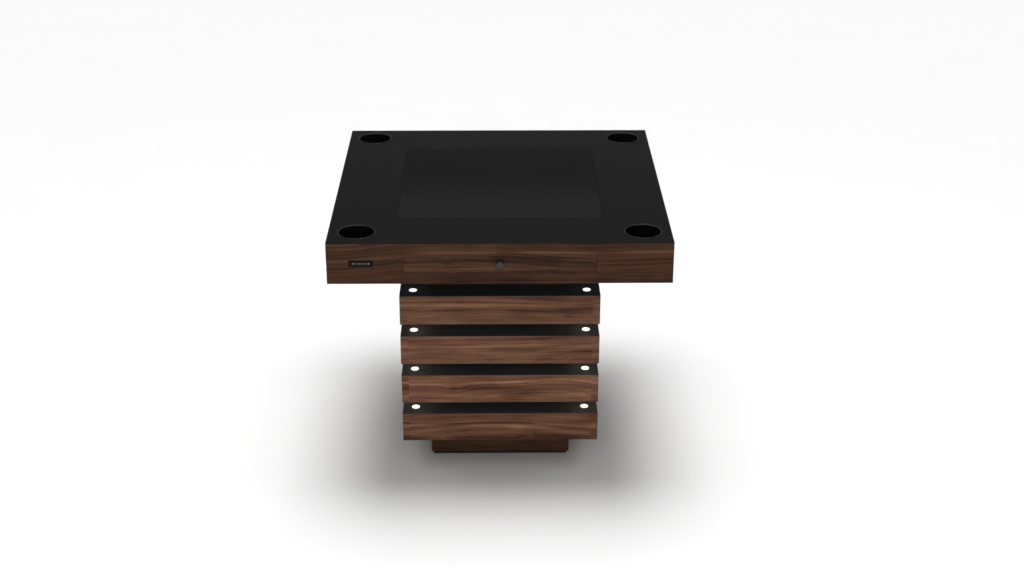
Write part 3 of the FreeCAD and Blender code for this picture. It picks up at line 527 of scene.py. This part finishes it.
def lit_lens(reach_x, reach_y):
    """Opal diffuser, lit from inside: brightest in its middle."""
    material, tree = new_material("lit_opal")
    x, y, z = tree.place()
    off_centre = tree.distance(abs(x) - reach_x, abs(y) - reach_y)
    frost = tree.noise(x * 1500, y * 1500, z * 1500, 2)
    core = off_centre.ramp(LENS_RADIUS, 6 * MM)
    colour = tree.mix(core * 0.6 + frost * 0.2, (0.80, 0.83, 0.86), (0.95, 0.96, 0.97))
    glow = {"Emission_Color": (1.0, 0.98, 0.95), "Emission_Strength": LENS_GLOW}
    tree.surface(colour, 0.35 + frost * 0.1, tree.bump(frost, 0.01 * MM), **glow)
    return material


def rubber(name, colour):
    """Matt rubber or foam with a fine open grain."""
    material, tree = new_material(name)
    x, y, z = tree.place()
    grain = tree.noise(x * 700, y * 700, z * 700, 4, 0.7)
    cloud = tree.noise(x * 25, y * 25, z * 25, 3)
    low = (colour * 0.6, colour * 0.6, colour * 0.6)
    high = (colour * 1.4, colour * 1.4, colour * 1.38)
    paint = tree.mix(grain * 0.6 + cloud * 0.4, low, high)
    tree.surface(paint, 0.75 + grain * 0.1, tree.bump(grain, 0.12 * MM), Specular_IOR_Level=0.3)
    return material


def cable_sheath():
    """Smooth sheath with faint draw lines."""
    material, tree = new_material("cable_sheath")
    x, y, z = tree.place()
    drawn = tree.noise(x * 900, y * 900, z * 40, 3, 0.6)
    cloud = tree.noise(x * 60, y * 60, z * 60, 2)
    colour = tree.mix(drawn * 0.6 + cloud * 0.4, (0.008, 0.008, 0.008), (0.020, 0.020, 0.021))
    tree.surface(colour, 0.42 + cloud * 0.12, tree.bump(drawn, 0.03 * MM))
    return material


def turned_aluminium():
    """Turned aluminium with rings along z."""
    material, tree = new_material("turned_aluminium")
    x, y, z = tree.place()
    rings = tree.line_noise(z * 3500, 2, 0.6)
    cloud = tree.noise(x * 100, y * 100, z * 100, 3)
    colour = tree.mix(rings * 0.5 + cloud * 0.5, (0.52, 0.53, 0.54), (0.70, 0.71, 0.72))
    tree.surface(colour, 0.28 + rings * 0.12, tree.bump(rings, 0.02 * MM), Metallic=1)
    return material


def inlet_material(low, high):
    """Moulded black plastic with two bright contact pins."""
    material, tree = new_material("inlet_black")
    x, y, z = tree.place()
    middle = (low + high) / 2
    grain = tree.noise(x * 1600, y * 1600, z * 1600, 3, 0.6)
    plastic = tree.mix(grain, (0.008, 0.008, 0.008), (0.016, 0.016, 0.017))
    pin_place = 4.3 * MM
    pin = tree.distance(abs(x) - pin_place, z - middle.z).ramp(1.5 * MM, 1.35 * MM)
    pin = pin * y.ramp(high.y - 2.6 * MM, high.y - 2.8 * MM)
    colour = tree.mix(pin, plastic, (0.60, 0.52, 0.34))
    tree.surface(colour, 0.4 - pin * 0.15, tree.bump(grain, 0.02 * MM), Metallic=pin)
    return material


def assign(material, *names):
    """Give CAD nodes a material."""
    for name in names:
        thing = nodes[name]
        thing.data.materials.clear()
        thing.data.materials.append(material)


def middle_height(name):
    low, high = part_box(name)
    return (low.z + high.z) / 2


def dress_walnut():
    table_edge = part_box("apron_front")[1].x
    apron = middle_height("apron_front")
    for seed, side in enumerate(("front", "back")):
        wood = walnut(
            f"walnut_apron_{side}",
            grain_along_x,
            apron,
            table_edge,
            11.3 + 5 * seed,
            APRON_TONE,
            streaks_and_painted_shade=[(0.031, 0.005, 0.22), (0.012, 0.012, -0.08), (-0.044, 0.014, -0.12)],
            left_end_rise=0.027 if side == "front" else 0,
        )
        assign(wood, f"apron_{side}")
    for seed, side in enumerate(("left", "right")):
        wood = walnut(
            f"walnut_apron_{side}", grain_along_y, apron, table_edge, 31.7 + 5 * seed, APRON_TONE
        )
        assign(wood, f"apron_{side}")
    drawer = walnut(
        "walnut_drawer",
        grain_along_x,
        middle_height("drawer_front"),
        table_edge,
        52.9,
        DRAWER_TONE,
        knots=[(-0.135, -0.002, 0.015, 0.0025)],
        streaks_and_painted_shade=[(-0.016, 0.004, 0.12), (0.010, 0.010, -0.06)],
    )
    assign(drawer, "drawer_front")

    tier_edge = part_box("tier_1_boards")[1].x
    side_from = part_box("tier_1_bottom")[1].x
    knots = {
        1: [],
        2: [(-0.130, 0.002, 0.018, 0.0065)],
        3: [(0.180, -0.024, 0.017, 0.0028)],
        4: [(0.188, -0.019, 0.020, 0.0032)],
    }
    streaks_and_painted_shade = {
        # Tier 1's darkest band, low on the board, is painted shade near the shadowed floor
        1: [(0.004, 0.006, 0.15), (0.030, 0.008, -0.08), (-0.034, 0.011, -0.17)],
        2: [(0.022, 0.006, 0.14), (-0.018, 0.006, 0.10)],
        3: [(0.012, 0.006, 0.18), (-0.004, 0.005, -0.10)],
        4: [(0.016, 0.006, 0.18), (0.001, 0.005, -0.10)],
    }
    for tier in range(1, 5):
        name = f"tier_{tier}_boards"
        wood = walnut(
            f"walnut_tier_{tier}",
            lambda tree: grain_of_tier(tree, side_from),
            middle_height(name),
            tier_edge,
            70.1 + 6.7 * tier,
            # painted light and shade for this tier
            (TIER_PAINTED_LIGHT_AND_SHADE[tier],) * 3,
            knots[tier],
            streaks_and_painted_shade[tier],
        )
        assign(wood, name)

    # The neck and the plinth are darkened with painted shade, as they stand in shadow under the top
    # and the tiers
    for name, tone_and_painted_shade in (("neck_boards", NECK_PAINTED_SHADE), ("plinth_boards", PLINTH_PAINTED_SHADE)):
        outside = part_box(name)[1].x
        wood = walnut(f"walnut_{name}", grain_of_frame, middle_height(name), outside, 120.5, tone_and_painted_shade)
        assign(wood, name)


def dress_cad():
    """Materials for every CAD node that stays."""
    dress_walnut()
    assign(black_laminate("black_laminate", (0.0042, 0.0042, 0.0042)), "top_skin")
    # The tier tops are the top's black laminate made many times paler and a little blue: painted
    # light for the light that falls on them between the tiers
    painted_light_laminate = black_laminate("black_laminate_painted_light", (0.055, 0.060, 0.066))
    assign(painted_light_laminate, *(f"tier_{n}_top" for n in range(1, 5)))
    assign(black_glass(), "panel_glass")
    assign(satin_black("satin_black_trim", 0.003, 0.18, 0.09), "panel_trim")
    assign(black_board(), "top_base", *(f"tier_spacer_{n}" for n in range(1, 4)))
    undersides = [f"tier_{n}_bottom" for n in range(1, 5)]
    assign(plywood_panel("birch_flat", 2), "top_core", "plinth_floor", "drawer_bottom", *undersides)
    upright = plywood_panel("birch_upright", 0)
    assign(upright, "drawer_side_left", "drawer_side_right", "runner_boards")
    assign(plywood_panel("birch_back", 1), "drawer_back")
    assign(rubber("foam_black", 0.020), "panel_bedding_tape")
    assign(rubber("foot_rubber", 0.012), "foot_pad")
    runners = [f"runner_{m}_{s}" for m in ("channel", "middle", "slide") for s in ("left", "right")]
    assign(zinc_steel(), "knob_screw", "tie_rod_nuts", "tie_rod_washers", *runners)
    assign(zinc_steel(1.5 * MM), "tie_rods")
    assign(turned_aluminium(), "light_bodies")
    assign(cable_sheath(), "light_wiring")
    assign(moulded_black("supply_black", 0.010, 0.42), "light_power_supply")
    assign(inlet_material(*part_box("power_inlet")), "power_inlet")


# ---- pieces made here ------------------------------------------------------------------------


def new_piece(name, mesh, material, body, replaced=()):
    """Add a finished mesh as a piece that rides on a body."""
    piece = bpy.data.objects.new(name, mesh)
    bpy.context.scene.collection.objects.link(piece)
    mesh.materials.append(material)
    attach(piece, body)
    if replaced:
        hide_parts(*replaced)
    return piece


def arc(centre, radius, start, end, steps=6):
    """Points on an arc, from one angle to another in degrees."""
    angles = [math.radians(start + (end - start) * i / steps) for i in range(steps + 1)]
    return [(centre[0] + radius * math.cos(a), centre[1] + radius * math.sin(a)) for a in angles]


def lathe(mesh_builder, profile, centre, axes, turns=96, ripple=None):
    """Turn a profile of (radius, height) points round an axis. axes are the three directions:
    two across and one along it. ripple(angle, index) gives a change of radius."""
    across, aside, along = axes
    rings = []
    for index, (radius, height) in enumerate(profile):
        if radius == 0:
            rings.append([mesh_builder.verts.new(centre + along * height)])
            continue
        ring = []
        for step in range(turns):
            angle = 2 * math.pi * step / turns
            reach = radius + (ripple(angle, index) if ripple else 0)
            arm = across * math.cos(angle) + aside * math.sin(angle)
            ring.append(mesh_builder.verts.new(centre + arm * reach + along * height))
        rings.append(ring)
    for lower, upper in zip(rings, rings[1:]):
        for step in range(turns):
            following = (step + 1) % turns
            corners = [lower[step % len(lower)], lower[following % len(lower)]]
            corners += [upper[following % len(upper)], upper[step % len(upper)]]
            corners = list(dict.fromkeys(corners))
            if len(corners) > 2:
                mesh_builder.faces.new(corners)


def finish_mesh(name, mesh_builder, sharp=35):
    """A mesh from a builder: normals out, smooth except over sharp edges (degrees)."""
    bmesh.ops.recalc_face_normals(mesh_builder, faces=mesh_builder.faces)
    for face in mesh_builder.faces:
        face.smooth = True
    for edge in mesh_builder.edges:
        if len(edge.link_faces) == 2 and edge.calc_face_angle() > math.radians(sharp):
            edge.smooth = False
    mesh = bpy.data.meshes.new(name)
    mesh_builder.to_mesh(mesh)
    mesh_builder.free()
    return mesh


UPRIGHT = (Vector((1, 0, 0)), Vector((0, 1, 0)), Vector((0, 0, 1)))
FORWARD = (Vector((1, 0, 0)), Vector((0, 0, 1)), Vector((0, -1, 0)))


def cup_profile(low, high):
    """A cup holder's section from the middle of its underside to the middle of its floor. The
    sizes that the CAD node doesn't give by its box are its inside radius, wall and rim."""
    rim = (high.x - low.x) / 2
    flange = 3 * MM
    wall = 1.5 * MM
    inner = rim - flange
    outer = inner + wall
    top = high.z
    under = low.z
    floor = under + wall
    rest = top - 1 * MM
    bend = 4 * MM
    edge = 0.45 * MM
    section = [(0, under), (outer - bend - wall, under)]
    section += arc((outer - bend - wall, under + bend + wall), bend + wall, -90, 0)[1:]
    section += [(outer, rest), (rim - edge, rest)]
    section += arc((rim - edge, rest + edge), edge, -90, 0, 3)[1:]
    section += arc((rim - edge, top - edge), edge, 0, 90, 4)[1:]
    section += arc((inner + edge, top - edge), edge, 90, 180, 4)
    section += [(inner, top - 3 * MM), (inner - 0.25 * MM, top - 3.4 * MM)]
    section += [(inner - 0.25 * MM, floor + bend)]
    section += arc((inner - 0.25 * MM - bend, floor + bend), bend, 0, -90)[1:]
    for ring in (34, 26, 18, 10):
        for offset, lift in ((1.2, 0), (0.7, 0.5), (-0.7, 0.5), (-1.2, 0)):
            section.append(((ring + offset) * MM, floor + lift * MM))
    section.append((0, floor))
    return section


def make_cup_holders():
    """Moulded drop-in cups with a rounded rim and four low rings on the floor."""
    # Below the top's surface the cups' inside is darkened with painted shade
    plastic = moulded_black("cup_black", 0.0045, 0.33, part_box("top_skin")[1].z - 1 * MM)
    for across in ("front", "back"):
        for side in ("left", "right"):
            name = f"cup_holder_{across}_{side}"
            low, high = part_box(name)
            middle = (low + high) / 2
            builder = bmesh.new()
            centre = Vector((middle.x, middle.y, 0))
            lathe(builder, cup_profile(low, high), centre, UPRIGHT, 128)
            mesh = finish_mesh(f"cup_{across}_{side}", builder)
            new_piece(f"cup_{across}_{side}", mesh, plastic, name, [name])


def make_lenses():
    """Opal lenses with a low dome over a straight foot."""
    low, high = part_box("tier_1_light_lenses")
    reach_x = high.x - LENS_RADIUS
    reach_y = high.y - LENS_RADIUS
    rise = high.z - low.z
    shoulder = rise * 0.55
    profile = [(0, 0), (LENS_RADIUS, 0), (LENS_RADIUS, shoulder)]
    steps = 10
    for i in range(1, steps + 1):
        angle = math.pi / 2 * i / steps
        reach = LENS_RADIUS * math.cos(angle) if i < steps else 0
        profile.append((reach, shoulder + (rise - shoulder) * math.sin(angle)))
    opal = lit_lens(reach_x, reach_y)
    for tier in range(1, 5):
        name = f"tier_{tier}_light_lenses"
        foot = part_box(name)[0].z
        builder = bmesh.new()
        for x in (-reach_x, reach_x):
            for y in (-reach_y, reach_y):
                lathe(builder, profile, Vector((x, y, foot)), UPRIGHT, 48)
        mesh = finish_mesh(f"lenses_tier_{tier}", builder)
        new_piece(f"lenses_tier_{tier}", mesh, opal, "table", [name])


def make_knob():
    """A dark turned knob with a fluted band, and a paler dished cap let into its face."""
    low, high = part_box("drawer_knob")
    radius = (high.x - low.x) / 2
    length = high.y - low.y
    centre = Vector(((low.x + high.x) / 2, high.y, (low.z + high.z) / 2))
    foot = 8.5 * MM
    edge = 0.8 * MM
    band_start = length * 0.42
    band_end = length * 0.84
    run_out = 0.4 * MM
    cap = radius - 0.9 * MM
    cap_seat = length - 1.1 * MM
    body = [(0, 0), (foot, 0), (foot, length * 0.16)]
    body += [(foot + 0.5 * MM, length * 0.22), (radius - 0.4 * MM, length * 0.33)]
    body += [(radius, length * 0.38), (radius, band_start)]
    fluted = (len(body), len(body) + 1)
    body += [(radius, band_start + run_out), (radius, band_end - run_out)]
    body += [(radius, band_end), (radius, length - edge)]
    body += arc((radius - edge, length - edge), edge, 0, 90, 5)[1:]
    body += [(cap, length), (cap, cap_seat), (0, cap_seat)]
    flutes = 54
    flute_depth = 0.22 * MM

    def ripple(angle, index):
        if index not in fluted:
            return 0
        return -flute_depth * (0.5 - 0.5 * math.cos(flutes * angle))

    builder = bmesh.new()
    lathe(builder, body, centre, FORWARD, flutes * 8, ripple)
    mesh = finish_mesh("knob_body", builder, 50)
    dark = turned_metal("knob_dark", (0.010, 0.010, 0.011), centre, 1, 0.40, 0.4)
    new_piece("knob_body", mesh, dark, "drawer", ["drawer_knob"])

    rim = cap - 0.15 * MM
    face = length - 0.25 * MM
    dish = 0.45 * MM
    steps = 12
    rim_edge = 0.2 * MM
    profile = [(0, cap_seat), (rim, cap_seat), (rim, face - rim_edge), (rim - rim_edge, face)]
    for i in range(1, steps + 1):
        share = 1 - i / steps
        reach = (rim - 0.9 * MM) * share
        profile.append((reach if i < steps else 0, face - dish * (1 - share ** 2)))
    builder = bmesh.new()
    lathe(builder, profile, centre, FORWARD, 96)
    mesh = finish_mesh("knob_cap", builder)
    grey = turned_metal("knob_grey", (0.031, 0.031, 0.031), centre, 1, 0.45, 0.3)
    new_piece("knob_cap", mesh, grey, "drawer")


def rounded_rectangle(width, height, radius, steps=5):
    """Corner points of a rectangle with round corners, about the origin."""
    points = []
    for quarter, (x, y) in enumerate(((1, 1), (-1, 1), (-1, -1), (1, -1))):
        middle = (x * (width / 2 - radius), y * (height / 2 - radius))
        points += arc(middle, radius, 90 * quarter, 90 * quarter + 90, steps)
    return points


def stack_outlines(builder, outlines, centre):
    """Skin a pile of outlines, each (points, height towards the front), and close both ends."""
    layers = []
    for points, height in outlines:
        layers.append([builder.verts.new(centre + Vector((x, -height, z))) for x, z in points])
    for lower, upper in zip(layers, layers[1:]):
        count = len(lower)
        for i in range(count):
            following = (i + 1) % count
            builder.faces.new((lower[i], lower[following], upper[following], upper[i]))
    builder.faces.new(layers[0])
    builder.faces.new(layers[-1])


def make_name_plate():
    """A blank plate with a raised border, and a plain ornament of a bar between two lozenges."""
    low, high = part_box("name_plate")
    width = high.x - low.x
    height = high.z - low.z
    thick = high.y - low.y
    centre = Vector(((low.x + high.x) / 2, high.y, (low.z + high.z) / 2))
    corner = 1.5 * MM
    border = 0.9 * MM
    round_off = 0.3 * MM
    sunk = 0.25 * MM
    outlines = []
    for inset, level in (
        (0, 0),
        (0, thick - round_off),
        (round_off * 0.3, thick - round_off * 0.3),
        (round_off, thick),
        (border, thick),
        (border + sunk, thick - sunk),
    ):
        points = rounded_rectangle(width - 2 * inset, height - 2 * inset, corner - inset * 0.4)
        outlines.append((points, level))
    builder = bmesh.new()
    stack_outlines(builder, outlines, centre)
    mesh = finish_mesh("plate_body", builder)
    black = satin_black("plate_black", 0.004, 0.42, 0.10)
    new_piece("plate_body", mesh, black, "table", ["name_plate"])

    builder = bmesh.new()
    bottom = thick - sunk
    raised = 0.2 * MM
    shoulder = bottom + raised * 0.5
    top = bottom + raised
    bar_length = width * 0.40
    bar_height = 1.6 * MM
    lozenge = 2.6 * MM
    bar = rounded_rectangle(bar_length, bar_height, bar_height * 0.45)
    inner = rounded_rectangle(bar_length - raised, bar_height - raised, bar_height * 0.4)
    stack_outlines(builder, [(bar, bottom), (bar, shoulder), (inner, top)], centre)
    for way in (-1, 1):
        middle = way * (bar_length / 2 + 2.4 * lozenge)
        outlines = []
        for size, level in ((lozenge, bottom), (lozenge, shoulder), (lozenge - raised, top)):
            half = size * 1.3
            points = [(middle + half, 0), (middle, size), (middle - half, 0), (middle, -size)]
            outlines.append((points, level))
        stack_outlines(builder, outlines, centre)
    mesh = finish_mesh("plate_ornament", builder)
    silver = turned_metal("plate_silver", (0.20, 0.20, 0.20), centre, 1, 0.45, 0.5)
    new_piece("plate_ornament", mesh, silver, "table")


def make_felt_mat():
    """The felt mat: a thin cloth that lies almost flat, with soft edges and slight swells."""
    low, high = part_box("drawer_liner")
    width = high.x - low.x
    depth = high.y - low.y
    thick = high.z - low.z
    columns = 90
    rows = 68
    builder = bmesh.new()
    layers = []
    for top in (False, True):
        layer = []
        for row in range(rows + 1):
            line = []
            for column in range(columns + 1):
                x = low.x + width * column / columns
                y = low.y + depth * row / rows
                edge = min(column, columns - column, row, rows - row)
                swell = noise.noise(Vector((x * 14, y * 14, 3.7)))
                rough = noise.noise(Vector((x * 160, y * 160, 9.1)))
                soft = 0.45 if edge == 0 else 0.85 if edge == 1 else 1.0
                z = low.z
                if top:
                    z += thick * (0.80 * soft + 0.12 * swell * soft + 0.05 * rough)
                line.append(builder.verts.new((x, y, z)))
            layer.append(line)
        layers.append(layer)
    for layer, flip in zip(layers, (True, False)):
        for row in range(rows):
            for column in range(columns):
                corners = [
                    layer[row][column],
                    layer[row][column + 1],
                    layer[row + 1][column + 1],
                    layer[row + 1][column],
                ]
                builder.faces.new(corners[::-1] if flip else corners)
    border = [(0, column) for column in range(columns)]
    border += [(row, columns) for row in range(rows)]
    border += [(rows, column) for column in range(columns, 0, -1)]
    border += [(row, 0) for row in range(rows, 0, -1)]
    for here, following in zip(border, border[1:] + border[:1]):
        corners = [layers[0][here[0]][here[1]], layers[0][following[0]][following[1]]]
        corners += [layers[1][following[0]][following[1]], layers[1][here[0]][here[1]]]
        builder.faces.new(corners)
    mesh = finish_mesh("felt_mat", builder, 60)
    mat = new_piece("felt_mat", mesh, felt(), "drawer", ["drawer_liner"])


# ---- floor, light and camera -----------------------------------------------------------------

FLOOR_HALF = 40.0
FLOOR_SHADE = 0.80


def make_floor():
    """A wide pale floor."""
    builder = bmesh.new()
    corners = [(-1, -1), (1, -1), (1, 1), (-1, 1)]
    builder.faces.new([builder.verts.new((x * FLOOR_HALF, y * FLOOR_HALF, 0)) for x, y in corners])
    mesh = bpy.data.meshes.new("floor")
    builder.to_mesh(mesh)
    builder.free()
    material, tree = new_material("floor_white")
    x, y, z = tree.place()
    cloud = tree.noise(x * 3, y * 3, z, 2)
    low = (FLOOR_SHADE - 0.01,) * 3
    high = (FLOOR_SHADE + 0.01,) * 3
    tree.surface(tree.mix(cloud, low, high), 0.9, Specular_IOR_Level=0.1)
    mesh.materials.append(material)
    floor = bpy.data.objects.new("floor", mesh)
    bpy.context.scene.collection.objects.link(floor)


# The strength of the sky by height: a ring up to 15 degrees, and what lies under and over it
WHITE_RING = 0.9
LOW_SKY = 0.078
HIGH_SKY = 0.128
ZENITH_SKY = 0.02


def make_sky():
    """White behind everything for the camera. As a light it is a pale ring round the horizon
    under a dim sky."""
    world = bpy.data.worlds.new("studio")
    bpy.context.scene.world = world
    tree = Tree(world)
    spot = tree.add("TexCoord").outputs["Generated"]
    rise = Value(tree, tree.add("SeparateXYZ", {0: Value(tree, spot)}).outputs[2])
    sines = [math.sin(math.radians(angle)) for angle in (4, 15, 20.4, 21.2, 30, 45)]
    ring = rise.ramp(sines[1], sines[0]) * (WHITE_RING - LOW_SKY)
    sky = ring + LOW_SKY + rise.ramp(sines[2], sines[3]) * (HIGH_SKY - LOW_SKY)
    sky = sky + rise.ramp(sines[4], sines[5]) * (ZENITH_SKY - HIGH_SKY)
    seen = Value(tree, tree.add("LightPath").outputs["Is Camera Ray"])
    strength = choose(seen, sky, 1.0)
    background = tree.add("Background", {"Color": (1, 1, 1, 1), "Strength": strength})
    tree.add("OutputWorld", {"Surface": Value(tree, background.outputs[0])})


SUNS = [
    # strength, tilt to the right, tilt to the back and width across, in degrees
    (1.80, 0, 2, 26),
    (0.48, 0, 2, 56),
    (0.27, -30, 0, 20),
    (0.27, 30, 0, 20),
    (0.07, -44, 0, 24),
    (0.07, 44, 0, 24),
    (0.15, 0, -22, 30),
    (0.56, 0, 26, 30),
]


def make_suns():
    """Soft light from above, wider from side to side than from front to back."""
    for index, (strength, aside, back, width) in enumerate(SUNS):
        sun = bpy.data.lights.new(f"sun_{index}", "SUN")
        sun.energy = strength
        sun.angle = math.radians(width)
        lamp = bpy.data.objects.new(f"sun_{index}", sun)
        lamp.rotation_euler = Euler((math.radians(-back), math.radians(aside), 0))
        bpy.context.scene.collection.objects.link(lamp)


LENS_POWER = 0.026


def make_softbox(name, place, aim, size, power):
    """A wide area light that the camera doesn't see."""
    light = bpy.data.lights.new(name, "AREA")
    light.shape = "RECTANGLE"
    light.size, light.size_y = size
    light.energy = power
    lamp = bpy.data.objects.new(name, light)
    lamp.location = place
    heading = Vector(aim) - Vector(place)
    lamp.rotation_euler = heading.to_track_quat("-Z", "Y").to_euler()
    lamp.visible_camera = False
    bpy.context.scene.collection.objects.link(lamp)


def light_the_lenses():
    """The light that each lens sends up. The camera sees the lens itself."""
    for tier in range(1, 5):
        low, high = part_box(f"tier_{tier}_light_lenses")
        for x in (low.x + LENS_RADIUS, high.x - LENS_RADIUS):
            for y in (low.y + LENS_RADIUS, high.y - LENS_RADIUS):
                light = bpy.data.lights.new("lens_light", "AREA")
                light.shape = "DISK"
                light.size = 2 * LENS_RADIUS
                light.energy = LENS_POWER
                lamp = bpy.data.objects.new("lens_light", light)
                lamp.location = (x, y, high.z + 0.3 * MM)
                lamp.rotation_euler = (math.pi, 0, 0)
                lamp.visible_camera = False
                lamp.visible_glossy = False
                bpy.context.scene.collection.objects.link(lamp)


# The camera fitted to the photograph: its place in metres, its lens in millimetres and its tilt
# down, turn to the right and roll in radians
CAMERA_PLACE = (-0.0126, -4.337, 2.386)
CAMERA_LENS = 57.5
CAMERA_DOWN = 0.4219
CAMERA_RIGHT = 0.0112
CAMERA_ROLL = 0.0012


def make_camera():
    """The photograph's view: from the front, looking down at the top."""
    camera = bpy.data.cameras.new("camera")
    camera.lens = CAMERA_LENS
    camera.sensor_width = 36
    viewer = bpy.data.objects.new("camera", camera)
    place = Matrix.Translation(CAMERA_PLACE)
    turn = Matrix.Rotation(-CAMERA_RIGHT, 4, "Z")
    tilt = Matrix.Rotation(math.pi / 2 - CAMERA_DOWN, 4, "X")
    roll = Matrix.Rotation(CAMERA_ROLL, 4, "Z")
    viewer.matrix_world = place @ turn @ tilt @ roll
    bpy.context.scene.collection.objects.link(viewer)
    bpy.context.scene.camera = viewer


dress_cad()
make_cup_holders()
make_lenses()
make_knob()
make_name_plate()
make_felt_mat()
make_floor()
make_sky()
make_suns()
make_softbox("front_softbox", (-0.3, -5.5, 2.8), (0, 0, 0.2), (4.0, 2.0), 42)
make_softbox("high_softbox", (-0.3, -4.4, 4.4), (0, 0, 0.2), (3.0, 2.0), 18)
make_softbox("overhead_softbox", (0, 0.1, 2.0), (0, 0.1, 0), (0.5, 0.5), 7.6)
light_the_lenses()
make_camera()
bpy.context.scene.view_settings.view_transform = "Standard"
